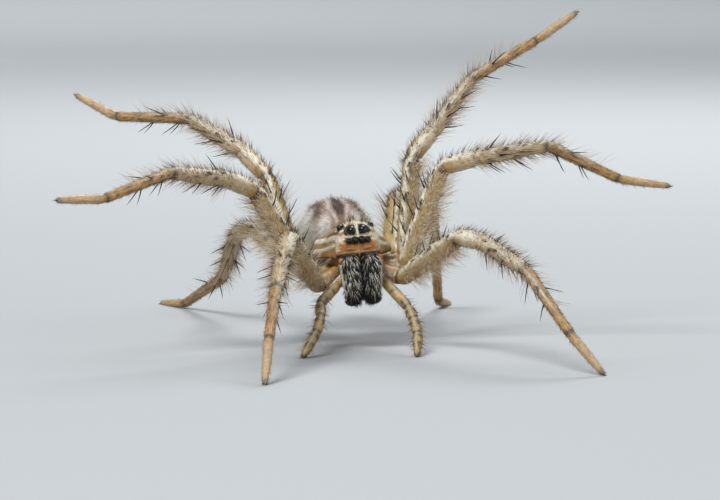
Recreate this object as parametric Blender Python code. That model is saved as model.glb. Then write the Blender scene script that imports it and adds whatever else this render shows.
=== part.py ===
"""Funnel weaver spider: a grown female, life size, in a waiting pose with four legs raised.

The spider faces -Y, its left side is +X and up is +Z. Every size below is in millimetres, and the
plane of the leg bases is z = 0 until the last step, which shrinks each mesh to metres and puts the
origin under the middle of the whole spider, on the floor.
"""
import math
import random

import bmesh
import bpy
import numpy as np
from mathutils import Matrix

MM = 0.001

# Slits between parts that meet
LIMB_GAP = 0.25
LENS_GAP = 0.07
FANG_GAP = 0.07
JAW_GAP = 0.12

# Stance
FLOOR = -3.9                    # height of the floor under the plane of the leg bases
TOE_CLEARANCE = 0.05            # height of a standing claw's middle line over the floor
BODY_LEAN = math.radians(5.0)   # the left side is carried a little higher than the right

# Head and thorax: y, half width, height of the margin, height of the top, and the power of the arch:
# under 1 a box, 1 an ellipse, over 1 a roof
CARAPACE = [
    (0.00, 0.82, 0.50, 1.28, 0.74),
    (0.12, 0.98, 0.46, 1.62, 0.78),
    (0.35, 1.06, 0.43, 1.85, 0.82),
    (0.75, 1.10, 0.40, 1.95, 0.86),
    (1.20, 1.24, 0.37, 1.90, 0.96),
    (1.80, 1.62, 0.33, 1.74, 1.12),
    (2.50, 1.86, 0.30, 1.66, 1.22),
    (3.20, 1.90, 0.29, 1.60, 1.22),
    (3.90, 1.68, 0.29, 1.42, 1.12),
    (4.55, 1.18, 0.30, 1.05, 1.00),
    (5.00, 0.58, 0.32, 0.68, 0.90),
]
KEEL_DEPTH = 0.22               # how far the shield's underside hangs below its margin
KEEL_SQUARE = (0.75, 0.6)       # powers of the underside: sideways, downward
STERNUM_MIDDLE = 2.75
STERNUM_LENGTH = 3.7
STERNUM_WIDTH = 2.1
STERNUM_DEPTH = 0.76
STERNUM_TOP = 0.75              # the block reaches this far up into the shield
STERNUM_OVAL = 2.6              # over 2 is fuller than an ellipse, seen from below
STERNUM_SQUARE = 0.7
STERNUM_TAPER = 0.55            # share of the depth that is lost at both ends
STERNUM_REACH = 0.97            # share of the half length where the end rings lie
MAXILLA = ((0.48, 1.12, -0.52), (0.34, 0.50, 0.36))
LABIUM = ((0.0, 1.35, -0.55), (0.30, 0.42, 0.30))

# Abdomen: y, half width, height of the underside, height of the top
ABDOMEN = [
    (5.30, 0.36, 1.05, 1.60),
    (5.50, 0.78, 0.68, 1.86),
    (5.85, 1.16, 0.10, 2.08),
    (6.40, 1.46, -0.48, 2.28),
    (7.30, 1.70, -0.95, 2.42),
    (8.30, 1.78, -1.10, 2.42),
    (9.30, 1.66, -1.00, 2.18),
    (10.2, 1.30, -0.70, 1.78),
    (10.9, 0.88, -0.36, 1.34),
    (11.4, 0.44, -0.02, 0.92),
]
ABDOMEN_SQUARE = 0.95           # the upper half is a little boxier than an ellipse
PEDICEL_RADIUS = 0.30
PEDICEL_HEIGHT = 0.46
PEDICEL_Y = (4.8, 6.5)

# Spinnerets: foot and tip on the left side, thickness at the foot and at the tip
SPINNERETS = [
    ((0.20, 11.7, 0.50), (0.46, 12.90, 0.66), 0.42, 0.20),
    ((0.20, 11.7, 0.24), (0.27, 12.40, 0.10), 0.42, 0.26),
]
SPINNERET_MOUND = ((0.0, 11.7, 0.42), (0.46, 0.42, 0.42))

# Jaws: height, middle line's x and y, half width, half depth
CHELICERA = [
    (0.52, 0.48, 0.02, 0.30, 0.34),
    (0.40, 0.51, 0.02, 0.41, 0.48),
    (0.10, 0.53, -0.02, 0.46, 0.58),
    (-0.40, 0.52, -0.06, 0.45, 0.60),
    (-0.90, 0.49, -0.04, 0.43, 0.54),
    (-1.25, 0.46, 0.00, 0.40, 0.48),
    (-1.48, 0.44, 0.03, 0.36, 0.40),
    (-1.58, 0.43, 0.05, 0.28, 0.30),
]
CHELICERA_SQUARE = 0.8
FANG_HINGE = (0.42, 0.05, -1.64)    # middle of the arc that a folded fang follows
FANG_REACH = (0.31, 0.17)           # sideways and downward radius of that arc
FANG_ARC = (-8.0, 160.0)            # degrees round the hinge, from the outer side inward
FANG_THICKNESS = (0.28, 0.06)

# Eyes on the left side: node name, place, diameter
EYES = [
    ("front_median", (0.145, -0.02, 1.12), 0.25),
    ("front_lateral", (0.425, 0.02, 1.10), 0.20),
    ("rear_median", (0.255, 0.16, 1.55), 0.41),
    ("rear_lateral", (0.690, 0.72, 1.66), 0.33),
]

# Legs, front to rear: where the femur starts, where the coxa starts, the five lengths from the
# femur to the claws, and their thickness at the start of each and at the claws
LEG_BASE = [(1.92, 0.75, -0.92), (2.22, 1.88, -0.55), (2.5, 3.2, -0.35), (2.05, 4.6, -0.35)]
COXA_ROOT = [(0.85, 1.45, -0.25), (0.95, 2.20, -0.30), (0.95, 3.05, -0.30), (0.80, 3.85, -0.30)]
LEG_LENGTHS = [
    (5.1, 1.9, 3.6, 3.9, 2.3),
    (5.0, 1.6, 3.4, 3.7, 2.4),
    (4.8, 1.7, 3.3, 3.8, 2.4),
    (5.2, 1.9, 4.3, 5.6, 2.6),
]
LEG_THICKNESS = {
    "coxa": (0.56, 0.76),
    "femur": (0.78, 0.92, 0.96, 0.90, 0.80),
    "patella": (0.80, 0.88, 0.80),
    "tibia": (0.80, 0.76, 0.62),
    "metatarsus": (0.58, 0.54, 0.50),
    "tarsus": (0.50, 0.46, 0.30),
}
# Degrees: forward of straight out to the side, and above level, for each of the five lengths.
# A tarsus with no second angle stands, and is turned down until its claws meet the floor.
STANCE = {
    ("left", 1): [(64, 26), (66, -3), (66, -16), (58, -42), (38, None)],
    ("left", 2): [(15, 69), (18, 15), (0, 9), (-2, -25), (5, -8)],
    ("left", 3): [(-14, 86), (-32, 42), (-22, 48), (-20, 26), (-8, 33)],
    ("left", 4): [(-79, 29), (-68, -7), (-62, -12), (-76, -57), (-69, None)],
    ("right", 1): [(65, 31), (76, -19), (77, -20), (78, -28), (77, None)],
    ("right", 2): [(25, 55), (31, 21), (33, 8), (29, -16), (24, 1)],
    ("right", 3): [(-56, 63), (-34, 41), (-38, 26), (-32, 0), (-35, 24)],
    ("right", 4): [(-69, 17), (-72, -11), (-84, -36), (-76, -18), (-68, None)],
}

# Palps: where the femur starts, its four lengths and their thickness
PALP_ROOT = (0.60, 0.95, -0.60)
PALP_BASE = (1.08, 0.54, -0.92)
PALP_LENGTHS = (1.90, 0.85, 1.10, 1.50)
PALP_THICKNESS = {
    "coxa": (0.44, 0.50),
    "femur": (0.50, 0.56, 0.52),
    "patella": (0.52, 0.56, 0.52),
    "tibia": (0.52, 0.52),
    "tarsus": (0.50, 0.48, 0.34),
}
PALP_STANCE = {
    "left": [(51, -36), (80, -33), (87, -32), (100, None)],
    "right": [(56, -21), (87, -35), (70, -36), (48, None)],
}

# Leg spines: fraction along the length, degrees round it from its upper side, towards the front
SPINE_LENGTH = 0.88
SPINE_LENGTH_SPREAD = (0.85, 1.1)
SPINE_ROOT = 0.34               # thickness at the skin
SPINE_TIP = 0.05
SPINE_SUNK = 0.20
SPINE_MIDDLE = (0.45, 0.6)      # share of the length where a spine has this share of its thickness
SPINE_SLANT = math.radians(48.0)
SPINE_TURN_SPREAD = 8.0         # degrees that a spine may stand off its place
SPINE_PLACE_SPREAD = 0.02       # share of the length that it may stand off its place
FEMUR_SPINES = [(0.28, 0), (0.50, 0), (0.74, 0), (0.56, 50), (0.78, 50), (0.56, -46), (0.78, -46)]
TIBIA_SPINES = [(0.22, 0), (0.30, 90), (0.62, 90), (0.30, -90), (0.62, -90), (0.16, 155),
                (0.16, -155), (0.50, 155), (0.50, -155)]
METATARSUS_SPINES = [(0.14, 150), (0.14, -150), (0.48, 150), (0.48, -150), (0.30, 60), (0.30, -60)]

# Fineness of the meshes
BODY_SIDES = 28
BLOCK_SIDES = 20
LIMB_SIDES = 10
THIN_SIDES = 8
BALL_SIDES = 10
SPINE_SIDES = 5
CARAPACE_RINGS = 16
STERNUM_RINGS = 9
ABDOMEN_RINGS = 18
CHELICERA_RINGS = 11
FANG_RINGS = 8
CHAMFER = 0.08                  # rounding of a limb's edge where it meets the next part
END_WIDTH = 0.82                # share of the width that is left at that edge
WELD = 1e-5                     # points closer than this are one
SHARP_ANGLE = math.radians(40.0)


def material(name, colour, roughness):
    """Principled finish of one part."""
    finish = bpy.data.materials.new(name)
    finish.use_nodes = True
    shader = finish.node_tree.nodes["Principled BSDF"]
    shader.inputs["Base Color"].default_value = (*colour, 1.0)
    shader.inputs["Roughness"].default_value = roughness
    shader.inputs["Metallic"].default_value = 0.0
    return finish


def lean(point):
    """A point of the level body, turned about the long axis as the body is carried."""
    x, y, z = point
    return np.array([x * math.cos(BODY_LEAN) - z * math.sin(BODY_LEAN), y,
                     x * math.sin(BODY_LEAN) + z * math.cos(BODY_LEAN)])


def mirrored(point, side):
    """A point given for the left side, on the side asked for."""
    return np.array([point[0] if side == "left" else -point[0], point[1], point[2]])


def heading(side, sweep, rise):
    """Unit vector from two angles in degrees: forward of straight out, and above level."""
    sweep, rise = math.radians(sweep), math.radians(rise)
    out = math.cos(rise) * math.cos(sweep)
    return np.array([out if side == "left" else -out, -math.cos(rise) * math.sin(sweep), math.sin(rise)])


def limb_joints(base, lengths, stance, side):
    """Joint points of a limb, from its base to its tip."""
    points = [lean(mirrored(base, side))]
    for length, (sweep, rise) in zip(lengths, stance):
        if rise is None:
            drop = (FLOOR + TOE_CLEARANCE - points[-1][2]) / length
            rise = math.degrees(math.asin(drop))
        points.append(points[-1] + length * heading(side, sweep, rise))
    return points


def smooth_rows(rows, count):
    """Rows of a short table read at more places, by a cubic through them."""
    table = np.array(rows, float)
    knots = np.arange(len(table))
    slopes = np.gradient(table, axis=0)
    at = np.linspace(0.0, len(table) - 1.0, count)
    low = np.minimum(at.astype(int), len(table) - 2)
    t = (at - knots[low])[:, None]
    return ((2 * t**3 - 3 * t**2 + 1) * table[low] + (t**3 - 2 * t**2 + t) * slopes[low]
            + (3 * t**2 - 2 * t**3) * table[low + 1] + (t**3 - t**2) * slopes[low + 1])


def new_object(name, points, faces):
    """Mesh object from points and faces, with its faces turned outward."""
    mesh = bpy.data.meshes.new(name)
    mesh.from_pydata([tuple(map(float, point)) for point in points], [], faces)
    shape = bmesh.new()
    shape.from_mesh(mesh)
    bmesh.ops.recalc_face_normals(shape, faces=shape.faces)
    shape.to_mesh(mesh)
    shape.free()
    made = bpy.data.objects.new(name, mesh)
    bpy.context.scene.collection.objects.link(made)
    return made


def skin_rings(name, rings):
    """Closed solid through a row of rings, each with the same number of points."""
    count, around = len(rings), len(rings[0])
    faces = [tuple(range(around)), tuple(range((count - 1) * around, count * around))]
    for ring in range(count - 1):
        for k in range(around):
            after = (k + 1) % around
            faces.append((ring * around + k, ring * around + after,
                          (ring + 1) * around + after, (ring + 1) * around + k))
    return new_object(name, np.concatenate(rings), faces)


def limb(points, thicknesses, first_plane=None, last_plane=None, sides=LIMB_SIDES):
    """Closed tube through the points, one tuple of thicknesses for each length between them.

    A ring at a bend lies in the plane that halves it, and the first and last ring lie in the planes
    given, or square to the tube. Ring directions are carried along without twist.
    """
    points = [np.array(point, float) for point in points]
    axes = [(b - a) / np.linalg.norm(b - a) for a, b in zip(points, points[1:])]
    turn = np.arange(sides) * 2.0 * math.pi / sides
    level = np.cross(axes[0], (0.0, 0.0, 1.0))
    level /= np.linalg.norm(level)
    rings = []
    for k, (axis, widths) in enumerate(zip(axes, thicknesses)):
        level = level - axis * level.dot(axis)
        level /= np.linalg.norm(level)
        around = np.outer(np.cos(turn), np.cross(level, axis)) + np.outer(np.sin(turn), level)
        start, end = points[k], points[k + 1]
        span = np.linalg.norm(end - start)
        stations = [(f, w, axis) for f, w in zip(np.linspace(0.0, 1.0, len(widths)), widths)]
        if k > 0:
            stations[0] = (0.0, 0.5 * (widths[0] + thicknesses[k - 1][-1]), axes[k - 1] + axis)
        else:
            plane = axis if first_plane is None else first_plane
            edge = CHAMFER / span
            stations[:1] = [(0.0, END_WIDTH * widths[0], plane), (edge, widths[0], plane)]
        if k + 1 < len(axes):
            stations.pop()
        else:
            plane = axis if last_plane is None else last_plane
            edge = CHAMFER / span
            stations[-1:] = [(1.0 - edge, widths[-1], plane), (1.0, END_WIDTH * widths[-1], plane)]
        for fraction, width, normal in stations:
            ring = 0.5 * width * around
            ring = ring - np.outer(ring @ normal / axis.dot(normal), axis)
            rings.append(start + fraction * (end - start) + ring)
    return skin_rings("limb", rings)


def ball(centre, radii, sides=BALL_SIDES):
    """Ellipsoid of flat rings between two poles."""
    shape = bmesh.new()
    bmesh.ops.create_uvsphere(shape, u_segments=sides, v_segments=sides // 2 + 1, radius=1.0)
    radii = (radii,) * 3 if isinstance(radii, float) else radii
    bmesh.ops.scale(shape, vec=radii, verts=shape.verts)
    bmesh.ops.translate(shape, vec=tuple(map(float, centre)), verts=shape.verts)
    mesh = bpy.data.meshes.new("ball")
    shape.to_mesh(mesh)
    shape.free()
    made = bpy.data.objects.new("ball", mesh)
    bpy.context.scene.collection.objects.link(made)
    return made


def spine(root, direction, length, thickness):
    """Tapered bristle, its foot sunk in the limb that it grows from."""
    direction = np.array(direction) / np.linalg.norm(direction)
    side = np.cross(direction, (0.3, 0.5, 0.8))
    side /= np.linalg.norm(side)
    other = np.cross(direction, side)
    turn = np.arange(SPINE_SIDES) * 2.0 * math.pi / SPINE_SIDES
    place, share = SPINE_MIDDLE
    rings = []
    for reach, width in [(-SPINE_SUNK, thickness), (place * length, share * thickness), (length, SPINE_TIP)]:
        ring = np.outer(np.cos(turn), side) + np.outer(np.sin(turn), other)
        rings.append(np.array(root) + direction * reach + 0.5 * width * ring)
    return skin_rings("spine", rings)


def spines_along(start, end, thickness, spots, draw):
    """Spines on one length of a limb, leaning towards its far end, none reaching the floor."""
    axis = end - start
    along = axis / np.linalg.norm(axis)
    level = np.cross(along, (0.0, 0.0, 1.0))
    level /= np.linalg.norm(level)
    upward = np.cross(level, along)
    made = []
    for fraction, degrees in spots:
        degrees += draw.uniform(-SPINE_TURN_SPREAD, SPINE_TURN_SPREAD)
        fraction += draw.uniform(-SPINE_PLACE_SPREAD, SPINE_PLACE_SPREAD)
        length = SPINE_LENGTH * draw.uniform(*SPINE_LENGTH_SPREAD)
        turn = math.radians(degrees)
        outward = math.cos(turn) * upward + math.sin(turn) * level
        radius = 0.5 * np.interp(fraction, np.linspace(0.0, 1.0, len(thickness)), thickness)
        direction = math.cos(SPINE_SLANT) * along + math.sin(SPINE_SLANT) * outward
        root = start + axis * fraction + outward * radius
        if (root + direction * length)[2] > FLOOR + SPINE_ROOT:
            made.append(spine(root, direction, length, SPINE_ROOT))
    return made


def discard(made):
    """Remove an object and its mesh."""
    mesh = made.data
    bpy.data.objects.remove(made)
    bpy.data.meshes.remove(mesh)


def apply_boolean(made, operation, others):
    """Cut or join with other objects, apply the result and remove them."""
    group = bpy.data.collections.new("operands")
    bpy.context.scene.collection.children.link(group)
    for other in others:
        group.objects.link(other)
    step = made.modifiers.new(operation, "BOOLEAN")
    step.operation = operation
    step.operand_type = "COLLECTION"
    step.collection = group
    step.solver = "EXACT"
    bpy.context.view_layer.update()
    result = bpy.data.meshes.new_from_object(made.evaluated_get(bpy.context.evaluated_depsgraph_get()))
    made.modifiers.clear()
    plain = made.data
    made.data = result
    bpy.data.meshes.remove(plain)
    for other in others:
        discard(other)
    bpy.data.collections.remove(group)


def cut_floor(made):
    """Take away what lies under the floor, and close the cut with a flat face."""
    shape = bmesh.new()
    shape.from_mesh(made.data)
    everything = list(shape.verts) + list(shape.edges) + list(shape.faces)
    bmesh.ops.bisect_plane(shape, geom=everything, plane_co=(0.0, 0.0, FLOOR),
                           plane_no=(0.0, 0.0, -1.0), clear_outer=True, dist=WELD)
    rim = [edge for edge in shape.edges if edge.is_boundary]
    bmesh.ops.holes_fill(shape, edges=rim)
    shape.to_mesh(made.data)
    shape.free()


def held(shell):
    """Three times the volume inside a closed set of faces."""
    return abs(sum(face.calc_center_median().dot(face.normal) * face.calc_area() for face in shell))


def keep_largest(made):
    """Keep only the closed surface that holds the most."""
    shape = bmesh.new()
    shape.from_mesh(made.data)
    bmesh.ops.remove_doubles(shape, verts=shape.verts, dist=WELD)
    unseen = set(shape.faces)
    shells = []
    while unseen:
        shell, front = [], [unseen.pop()]
        while front:
            face = front.pop()
            shell.append(face)
            for edge in face.edges:
                for beside in edge.link_faces:
                    if beside in unseen:
                        unseen.remove(beside)
                        front.append(beside)
        shells.append(shell)
    shells.sort(key=held)
    spare = [face for shell in shells[:-1] for face in shell]
    bmesh.ops.delete(shape, geom=spare, context="FACES")
    shape.to_mesh(made.data)
    shape.free()


def fuse(name, pieces, finish, carvers=(), on_floor=False):
    """One closed node: pieces joined, carved, cut off at the floor, its largest surface kept."""
    made = pieces[0]
    if len(pieces) > 1:
        apply_boolean(made, "UNION", pieces[1:])
    if carvers:
        apply_boolean(made, "DIFFERENCE", carvers)
    if on_floor:
        cut_floor(made)
    keep_largest(made)
    made.name = name
    made.data.name = name
    made.data.materials.clear()
    made.data.materials.append(finish)
    made.data.shade_smooth()
    made.data.set_sharp_from_angle(angle=SHARP_ANGLE)
    return made


def power(value, exponent):
    """Signed power, which squares or pinches a round outline."""
    return np.sign(value) * np.abs(value) ** exponent


def abdomen_rings(grow):
    """Rings of the egg-shaped abdomen: ellipses whose upper halves are a little boxier."""
    turn = np.arange(BODY_SIDES) * 2.0 * math.pi / BODY_SIDES
    side, upward = np.sin(turn), np.cos(turn)
    rings = []
    for y, half, low, high in smooth_rows(ABDOMEN, ABDOMEN_RINGS):
        middle = 0.5 * (low + high)
        x = (half + grow) * np.where(upward >= 0, power(side, ABDOMEN_SQUARE), side)
        rise = np.where(upward >= 0, power(upward, ABDOMEN_SQUARE), upward)
        z = middle + (0.5 * (high - low) + grow) * rise
        rings.append(np.stack([x, np.full_like(x, y), z], axis=1))
    rings[0][:, 1] -= grow
    rings[-1][:, 1] += grow
    return [np.array([lean(point) for point in ring]) for ring in rings]


def carapace_rings(grow):
    """Rings of the head and thorax shield: an arch, boxy at the head, on a flat margin."""
    turn = np.arange(BODY_SIDES) * 2.0 * math.pi / BODY_SIDES
    side, upward = np.sin(turn), np.cos(turn)
    rings = []
    for y, half, low, high, roof in smooth_rows(CARAPACE, CARAPACE_RINGS):
        x = (half + grow) * power(side, np.where(upward >= 0, roof, KEEL_SQUARE[0]))
        arch = low + (high - low + grow) * power(upward, roof)
        keel = low + (KEEL_DEPTH + grow) * power(upward, KEEL_SQUARE[1])
        rings.append(np.stack([x, np.full_like(x, y), np.where(upward >= 0, arch, keel)], axis=1))
    rings[0][:, 1] -= grow
    rings[-1][:, 1] += grow
    return [np.array([lean(point) for point in ring]) for ring in rings]


def sternum_rings(grow):
    """Rings of the block under the shield, an oval plate seen from below."""
    turn = np.arange(BLOCK_SIDES) * 2.0 * math.pi / BLOCK_SIDES
    rings = []
    for t in np.linspace(-STERNUM_REACH, STERNUM_REACH, STERNUM_RINGS):
        half = (0.5 * STERNUM_WIDTH + grow) * (1.0 - abs(t) ** STERNUM_OVAL) ** (1 / STERNUM_OVAL)
        depth = (STERNUM_DEPTH + grow) * (1.0 - STERNUM_TAPER * abs(t) ** 4)
        y = STERNUM_MIDDLE + t * (0.5 * STERNUM_LENGTH + grow)
        x = half * power(np.sin(turn), STERNUM_SQUARE)
        z = np.where(np.cos(turn) < 0, depth, STERNUM_TOP) * power(np.cos(turn), STERNUM_SQUARE)
        rings.append(np.array([lean(p) for p in np.stack([x, np.full_like(x, y), z], axis=1)]))
    return rings


def thorax_pieces(grow):
    """Closed pieces that together are the head and thorax, each grown by the same amount."""
    pieces = [skin_rings("shield", carapace_rings(grow)), skin_rings("sternum", sternum_rings(grow))]
    for side in ("left", "right"):
        centre, radii = MAXILLA
        pieces.append(ball(lean(mirrored(centre, side)), tuple(r + grow for r in radii)))
    centre, radii = LABIUM
    pieces.append(ball(lean(centre), tuple(r + grow for r in radii)))
    return pieces


def abdomen_piece(grow):
    """The abdomen as a closed solid, highest and widest behind its middle."""
    return skin_rings("egg", abdomen_rings(grow))


def chelicera_piece(side, grow):
    """Basal segment of one jaw, upright rings from under the forehead to the fang."""
    turn = np.arange(BLOCK_SIDES) * 2.0 * math.pi / BLOCK_SIDES
    rings = []
    for z, x, y, half, deep in smooth_rows(CHELICERA, CHELICERA_RINGS):
        ring = np.stack([x + (half + grow) * power(np.cos(turn), CHELICERA_SQUARE),
                         y + (deep + grow) * power(np.sin(turn), CHELICERA_SQUARE),
                         np.full_like(turn, z)], axis=1)
        rings.append(ring)
    rings[0][:, 2] += grow
    rings[-1][:, 2] -= grow
    return skin_rings("jaw", [np.array([lean(mirrored(p, side)) for p in ring]) for ring in rings])


def build_body(finish):
    """Head and thorax, waist, abdomen and spinnerets."""
    sockets = []
    for side in ("left", "right"):
        for _, place, width in EYES:
            sockets.append(ball(lean(mirrored(place, side)), 0.5 * width + LENS_GAP))
    fuse("cephalothorax", thorax_pieces(0.0), finish["shield"], carvers=sockets)
    fuse("abdomen", [abdomen_piece(0.0)], finish["abdomen"])
    ends = [lean((0.0, y, PEDICEL_HEIGHT)) for y in PEDICEL_Y]
    grown = thorax_pieces(LIMB_GAP) + [abdomen_piece(LIMB_GAP)]
    fuse("pedicel", [limb(ends, [(2.0 * PEDICEL_RADIUS,) * 2])], finish["shield"], carvers=grown)
    centre, radii = SPINNERET_MOUND
    pieces = [ball(lean(centre), radii)]
    for side in ("left", "right"):
        for foot, tip, wide, narrow in SPINNERETS:
            ends = [lean(mirrored(foot, side)), lean(mirrored(tip, side))]
            pieces.append(limb(ends, [(wide, wide, narrow)], sides=THIN_SIDES))
    fuse("spinnerets", pieces, finish["abdomen"], carvers=[abdomen_piece(LIMB_GAP)])


def build_jaws(finish):
    """Two chelicerae with a folded fang under each."""
    for side in ("left", "right"):
        fuse("chelicera_" + side, [chelicera_piece(side, 0.0)], finish["jaw"],
             carvers=thorax_pieces(JAW_GAP))
        steps = np.radians(np.linspace(*FANG_ARC, FANG_RINGS))
        middle = np.array(FANG_HINGE)
        across, down = FANG_REACH
        line = [middle + np.array([across * math.cos(a), 0.0, -down * math.sin(a)]) for a in steps]
        widths = np.linspace(*FANG_THICKNESS, len(line))
        turn = np.arange(LIMB_SIDES) * 2.0 * math.pi / LIMB_SIDES
        rings = []
        for a, centre, width in zip(steps, line, widths):
            outward = np.array([math.cos(a), 0.0, -math.sin(a)])
            ring = centre + 0.5 * width * (np.outer(np.cos(turn), outward)
                                           + np.outer(np.sin(turn), (0.0, 1.0, 0.0)))
            rings.append(np.array([lean(mirrored(p, side)) for p in ring]))
        fuse("fang_" + side, [skin_rings("fang", rings)], finish["claw"],
             carvers=[chelicera_piece(side, FANG_GAP)])


def build_eyes(finish):
    """Eight lenses, each set in its own socket."""
    for side in ("left", "right"):
        for name, place, width in EYES:
            fuse("eye_%s_%s" % (side, name), [ball(lean(mirrored(place, side)), 0.5 * width)], finish["eye"])


def joint_faces(before, joint, after):
    """Where the two lengths at a joint end, half the gap to each side of the plane between them."""
    inward = (joint - before) / np.linalg.norm(joint - before)
    onward = (after - joint) / np.linalg.norm(after - joint)
    plane = (inward + onward) / np.linalg.norm(inward + onward)
    half = 0.5 * LIMB_GAP / inward.dot(plane)
    return joint - half * inward, joint + half * onward, plane


def build_leg(side, number, finish, draw):
    """Three nodes of a leg: coxa to femur, patella and tibia, metatarsus and tarsus."""
    wide = LEG_THICKNESS
    root = lean(mirrored(COXA_ROOT[number - 1], side))
    base, knee, shin, heel, toe, tip = limb_joints(LEG_BASE[number - 1], LEG_LENGTHS[number - 1],
                                                   STANCE[side, number], side)
    femur_end, patella_start, knee_plane = joint_faces(base, knee, shin)
    tibia_end, foot_start, heel_plane = joint_faces(shin, heel, toe)
    name = "leg_%s_%d_" % (side, number)
    pieces = [limb([root, base, femur_end], [wide["coxa"], wide["femur"]], last_plane=knee_plane)]
    pieces += spines_along(base, knee, wide["femur"], FEMUR_SPINES, draw)
    fuse(name + "femur", pieces, finish["leg"], carvers=thorax_pieces(LIMB_GAP))
    pieces = [limb([patella_start, shin, tibia_end], [wide["patella"], wide["tibia"]],
                   knee_plane, heel_plane)]
    pieces += spines_along(shin, heel, wide["tibia"], TIBIA_SPINES, draw)
    fuse(name + "tibia", pieces, finish["leg"])
    pieces = [limb([foot_start, toe, tip], [wide["metatarsus"], wide["tarsus"]], heel_plane,
                   sides=THIN_SIDES)]
    pieces += spines_along(heel, toe, wide["metatarsus"], METATARSUS_SPINES, draw)
    stands = STANCE[side, number][-1][1] is None
    fuse(name + "foot", pieces, finish["foot"], on_floor=stands)


def build_palp(side, finish):
    """Two nodes of a palp: the femur, and the three lengths past it."""
    wide = PALP_THICKNESS
    root = lean(mirrored(PALP_ROOT, side))
    base, knee, shin, wrist, tip = limb_joints(PALP_BASE, PALP_LENGTHS, PALP_STANCE[side], side)
    femur_end, patella_start, plane = joint_faces(base, knee, shin)
    fuse("palp_%s_femur" % side, [limb([root, base, femur_end], [wide["coxa"], wide["femur"]],
                                       last_plane=plane)],
         finish["leg"], carvers=thorax_pieces(LIMB_GAP))
    fuse("palp_%s_tip" % side, [limb([patella_start, shin, wrist, tip],
                                     [wide["patella"], wide["tibia"], wide["tarsus"]], plane)],
         finish["leg"], on_floor=True)


def set_origin():
    """Shrink every mesh to metres, with the origin on the floor under the middle of them all."""
    corners = np.array([vertex.co for made in bpy.data.objects for vertex in made.data.vertices])
    middle = 0.5 * (corners.min(axis=0) + corners.max(axis=0))
    shift = Matrix.Translation((-middle[0], -middle[1], -FLOOR))
    for made in bpy.data.objects:
        made.data.transform(Matrix.Scale(MM, 4) @ shift)


def main():
    """Empty the file, then build every node of the spider."""
    for old in list(bpy.data.objects):
        bpy.data.objects.remove(old)
    finish = {
        "shield": material("shield", (0.30, 0.16, 0.06), 0.45),
        "abdomen": material("abdomen", (0.32, 0.24, 0.18), 0.80),
        "jaw": material("jaw", (0.06, 0.03, 0.02), 0.40),
        "claw": material("fang", (0.12, 0.03, 0.01), 0.25),
        "eye": material("eye", (0.005, 0.005, 0.006), 0.05),
        "leg": material("leg", (0.50, 0.34, 0.14), 0.50),
        "foot": material("foot", (0.42, 0.22, 0.08), 0.50),
    }
    draw = random.Random(7)
    build_body(finish)
    build_jaws(finish)
    build_eyes(finish)
    for side in ("left", "right"):
        build_palp(side, finish)
        for number in (1, 2, 3, 4):
            build_leg(side, number, finish, draw)
    set_origin()


main()
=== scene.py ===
"""Funnel weaver spider: skin, eyes, fangs, claws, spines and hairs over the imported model.

Lengths are in millimetres in the body's own frame, with the plane of the leg bases at z = 0, the
head towards -y and the spider's left side at +x. The function placed turns them into the frame's
metres. Every random draw is seeded.
"""
import functools
import math
import random

import bpy
import numpy as np
from mathutils import Matrix, Vector


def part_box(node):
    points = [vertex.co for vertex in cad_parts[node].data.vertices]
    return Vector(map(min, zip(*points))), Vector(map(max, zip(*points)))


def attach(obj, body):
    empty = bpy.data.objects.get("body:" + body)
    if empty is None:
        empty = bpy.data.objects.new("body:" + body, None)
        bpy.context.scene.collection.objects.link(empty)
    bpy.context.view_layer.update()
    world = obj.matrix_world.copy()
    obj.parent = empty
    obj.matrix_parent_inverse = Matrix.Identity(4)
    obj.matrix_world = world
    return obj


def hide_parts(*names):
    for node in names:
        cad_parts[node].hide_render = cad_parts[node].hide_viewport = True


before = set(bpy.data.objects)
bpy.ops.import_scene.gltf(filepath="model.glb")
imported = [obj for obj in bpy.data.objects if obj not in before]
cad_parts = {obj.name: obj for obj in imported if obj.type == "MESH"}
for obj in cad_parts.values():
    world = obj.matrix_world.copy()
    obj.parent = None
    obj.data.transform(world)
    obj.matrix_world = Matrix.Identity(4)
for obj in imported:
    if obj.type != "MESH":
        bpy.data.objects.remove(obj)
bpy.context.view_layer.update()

MM = 0.001

# Stance, as in the solids
FLOOR = -3.9
TOE_CLEARANCE = 0.05
BODY_LEAN = math.radians(5.0)
COAT_DEPTH = 0.035              # the skin lies this far inside the solids

# Head and thorax: y, half width, height of the margin, height of the top, power of the arch
CARAPACE = [
    (0.00, 0.82, 0.50, 1.28, 0.74),
    (0.12, 0.98, 0.46, 1.62, 0.78),
    (0.35, 1.06, 0.43, 1.85, 0.82),
    (0.75, 1.10, 0.40, 1.95, 0.86),
    (1.20, 1.24, 0.37, 1.90, 0.96),
    (1.80, 1.62, 0.33, 1.74, 1.12),
    (2.50, 1.86, 0.30, 1.66, 1.22),
    (3.20, 1.90, 0.29, 1.60, 1.22),
    (3.90, 1.68, 0.29, 1.42, 1.12),
    (4.55, 1.18, 0.30, 1.05, 1.00),
    (5.00, 0.58, 0.32, 0.68, 0.90),
]
KEEL_DEPTH = 0.22               # how far the shield's underside hangs below its margin
KEEL_SQUARE = (0.75, 0.6)       # powers of that underside, across and down
RAY_WAVES = 5.0                 # dark rays and grooves in half a turn about the pit
FOVEA_Y = 3.3                   # the pit in the middle of the thorax that the dark rays run from
HEAD_MIDDLE = (0.0, 1.0, 0.9)   # the skin swells away from here
EYE_RIM = 0.05                  # height of the raised rim round an eye
STERNUM_MIDDLE = 2.75
STERNUM_SIZE = (2.1, 3.7, 0.76)     # width, length, depth
STERNUM_RISE = 0.72             # how far its block reaches up into the shield
STERNUM_ROUND = 2.6             # power of its outline from above
STERNUM_SQUARE = 0.7            # power of its cross-section

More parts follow.
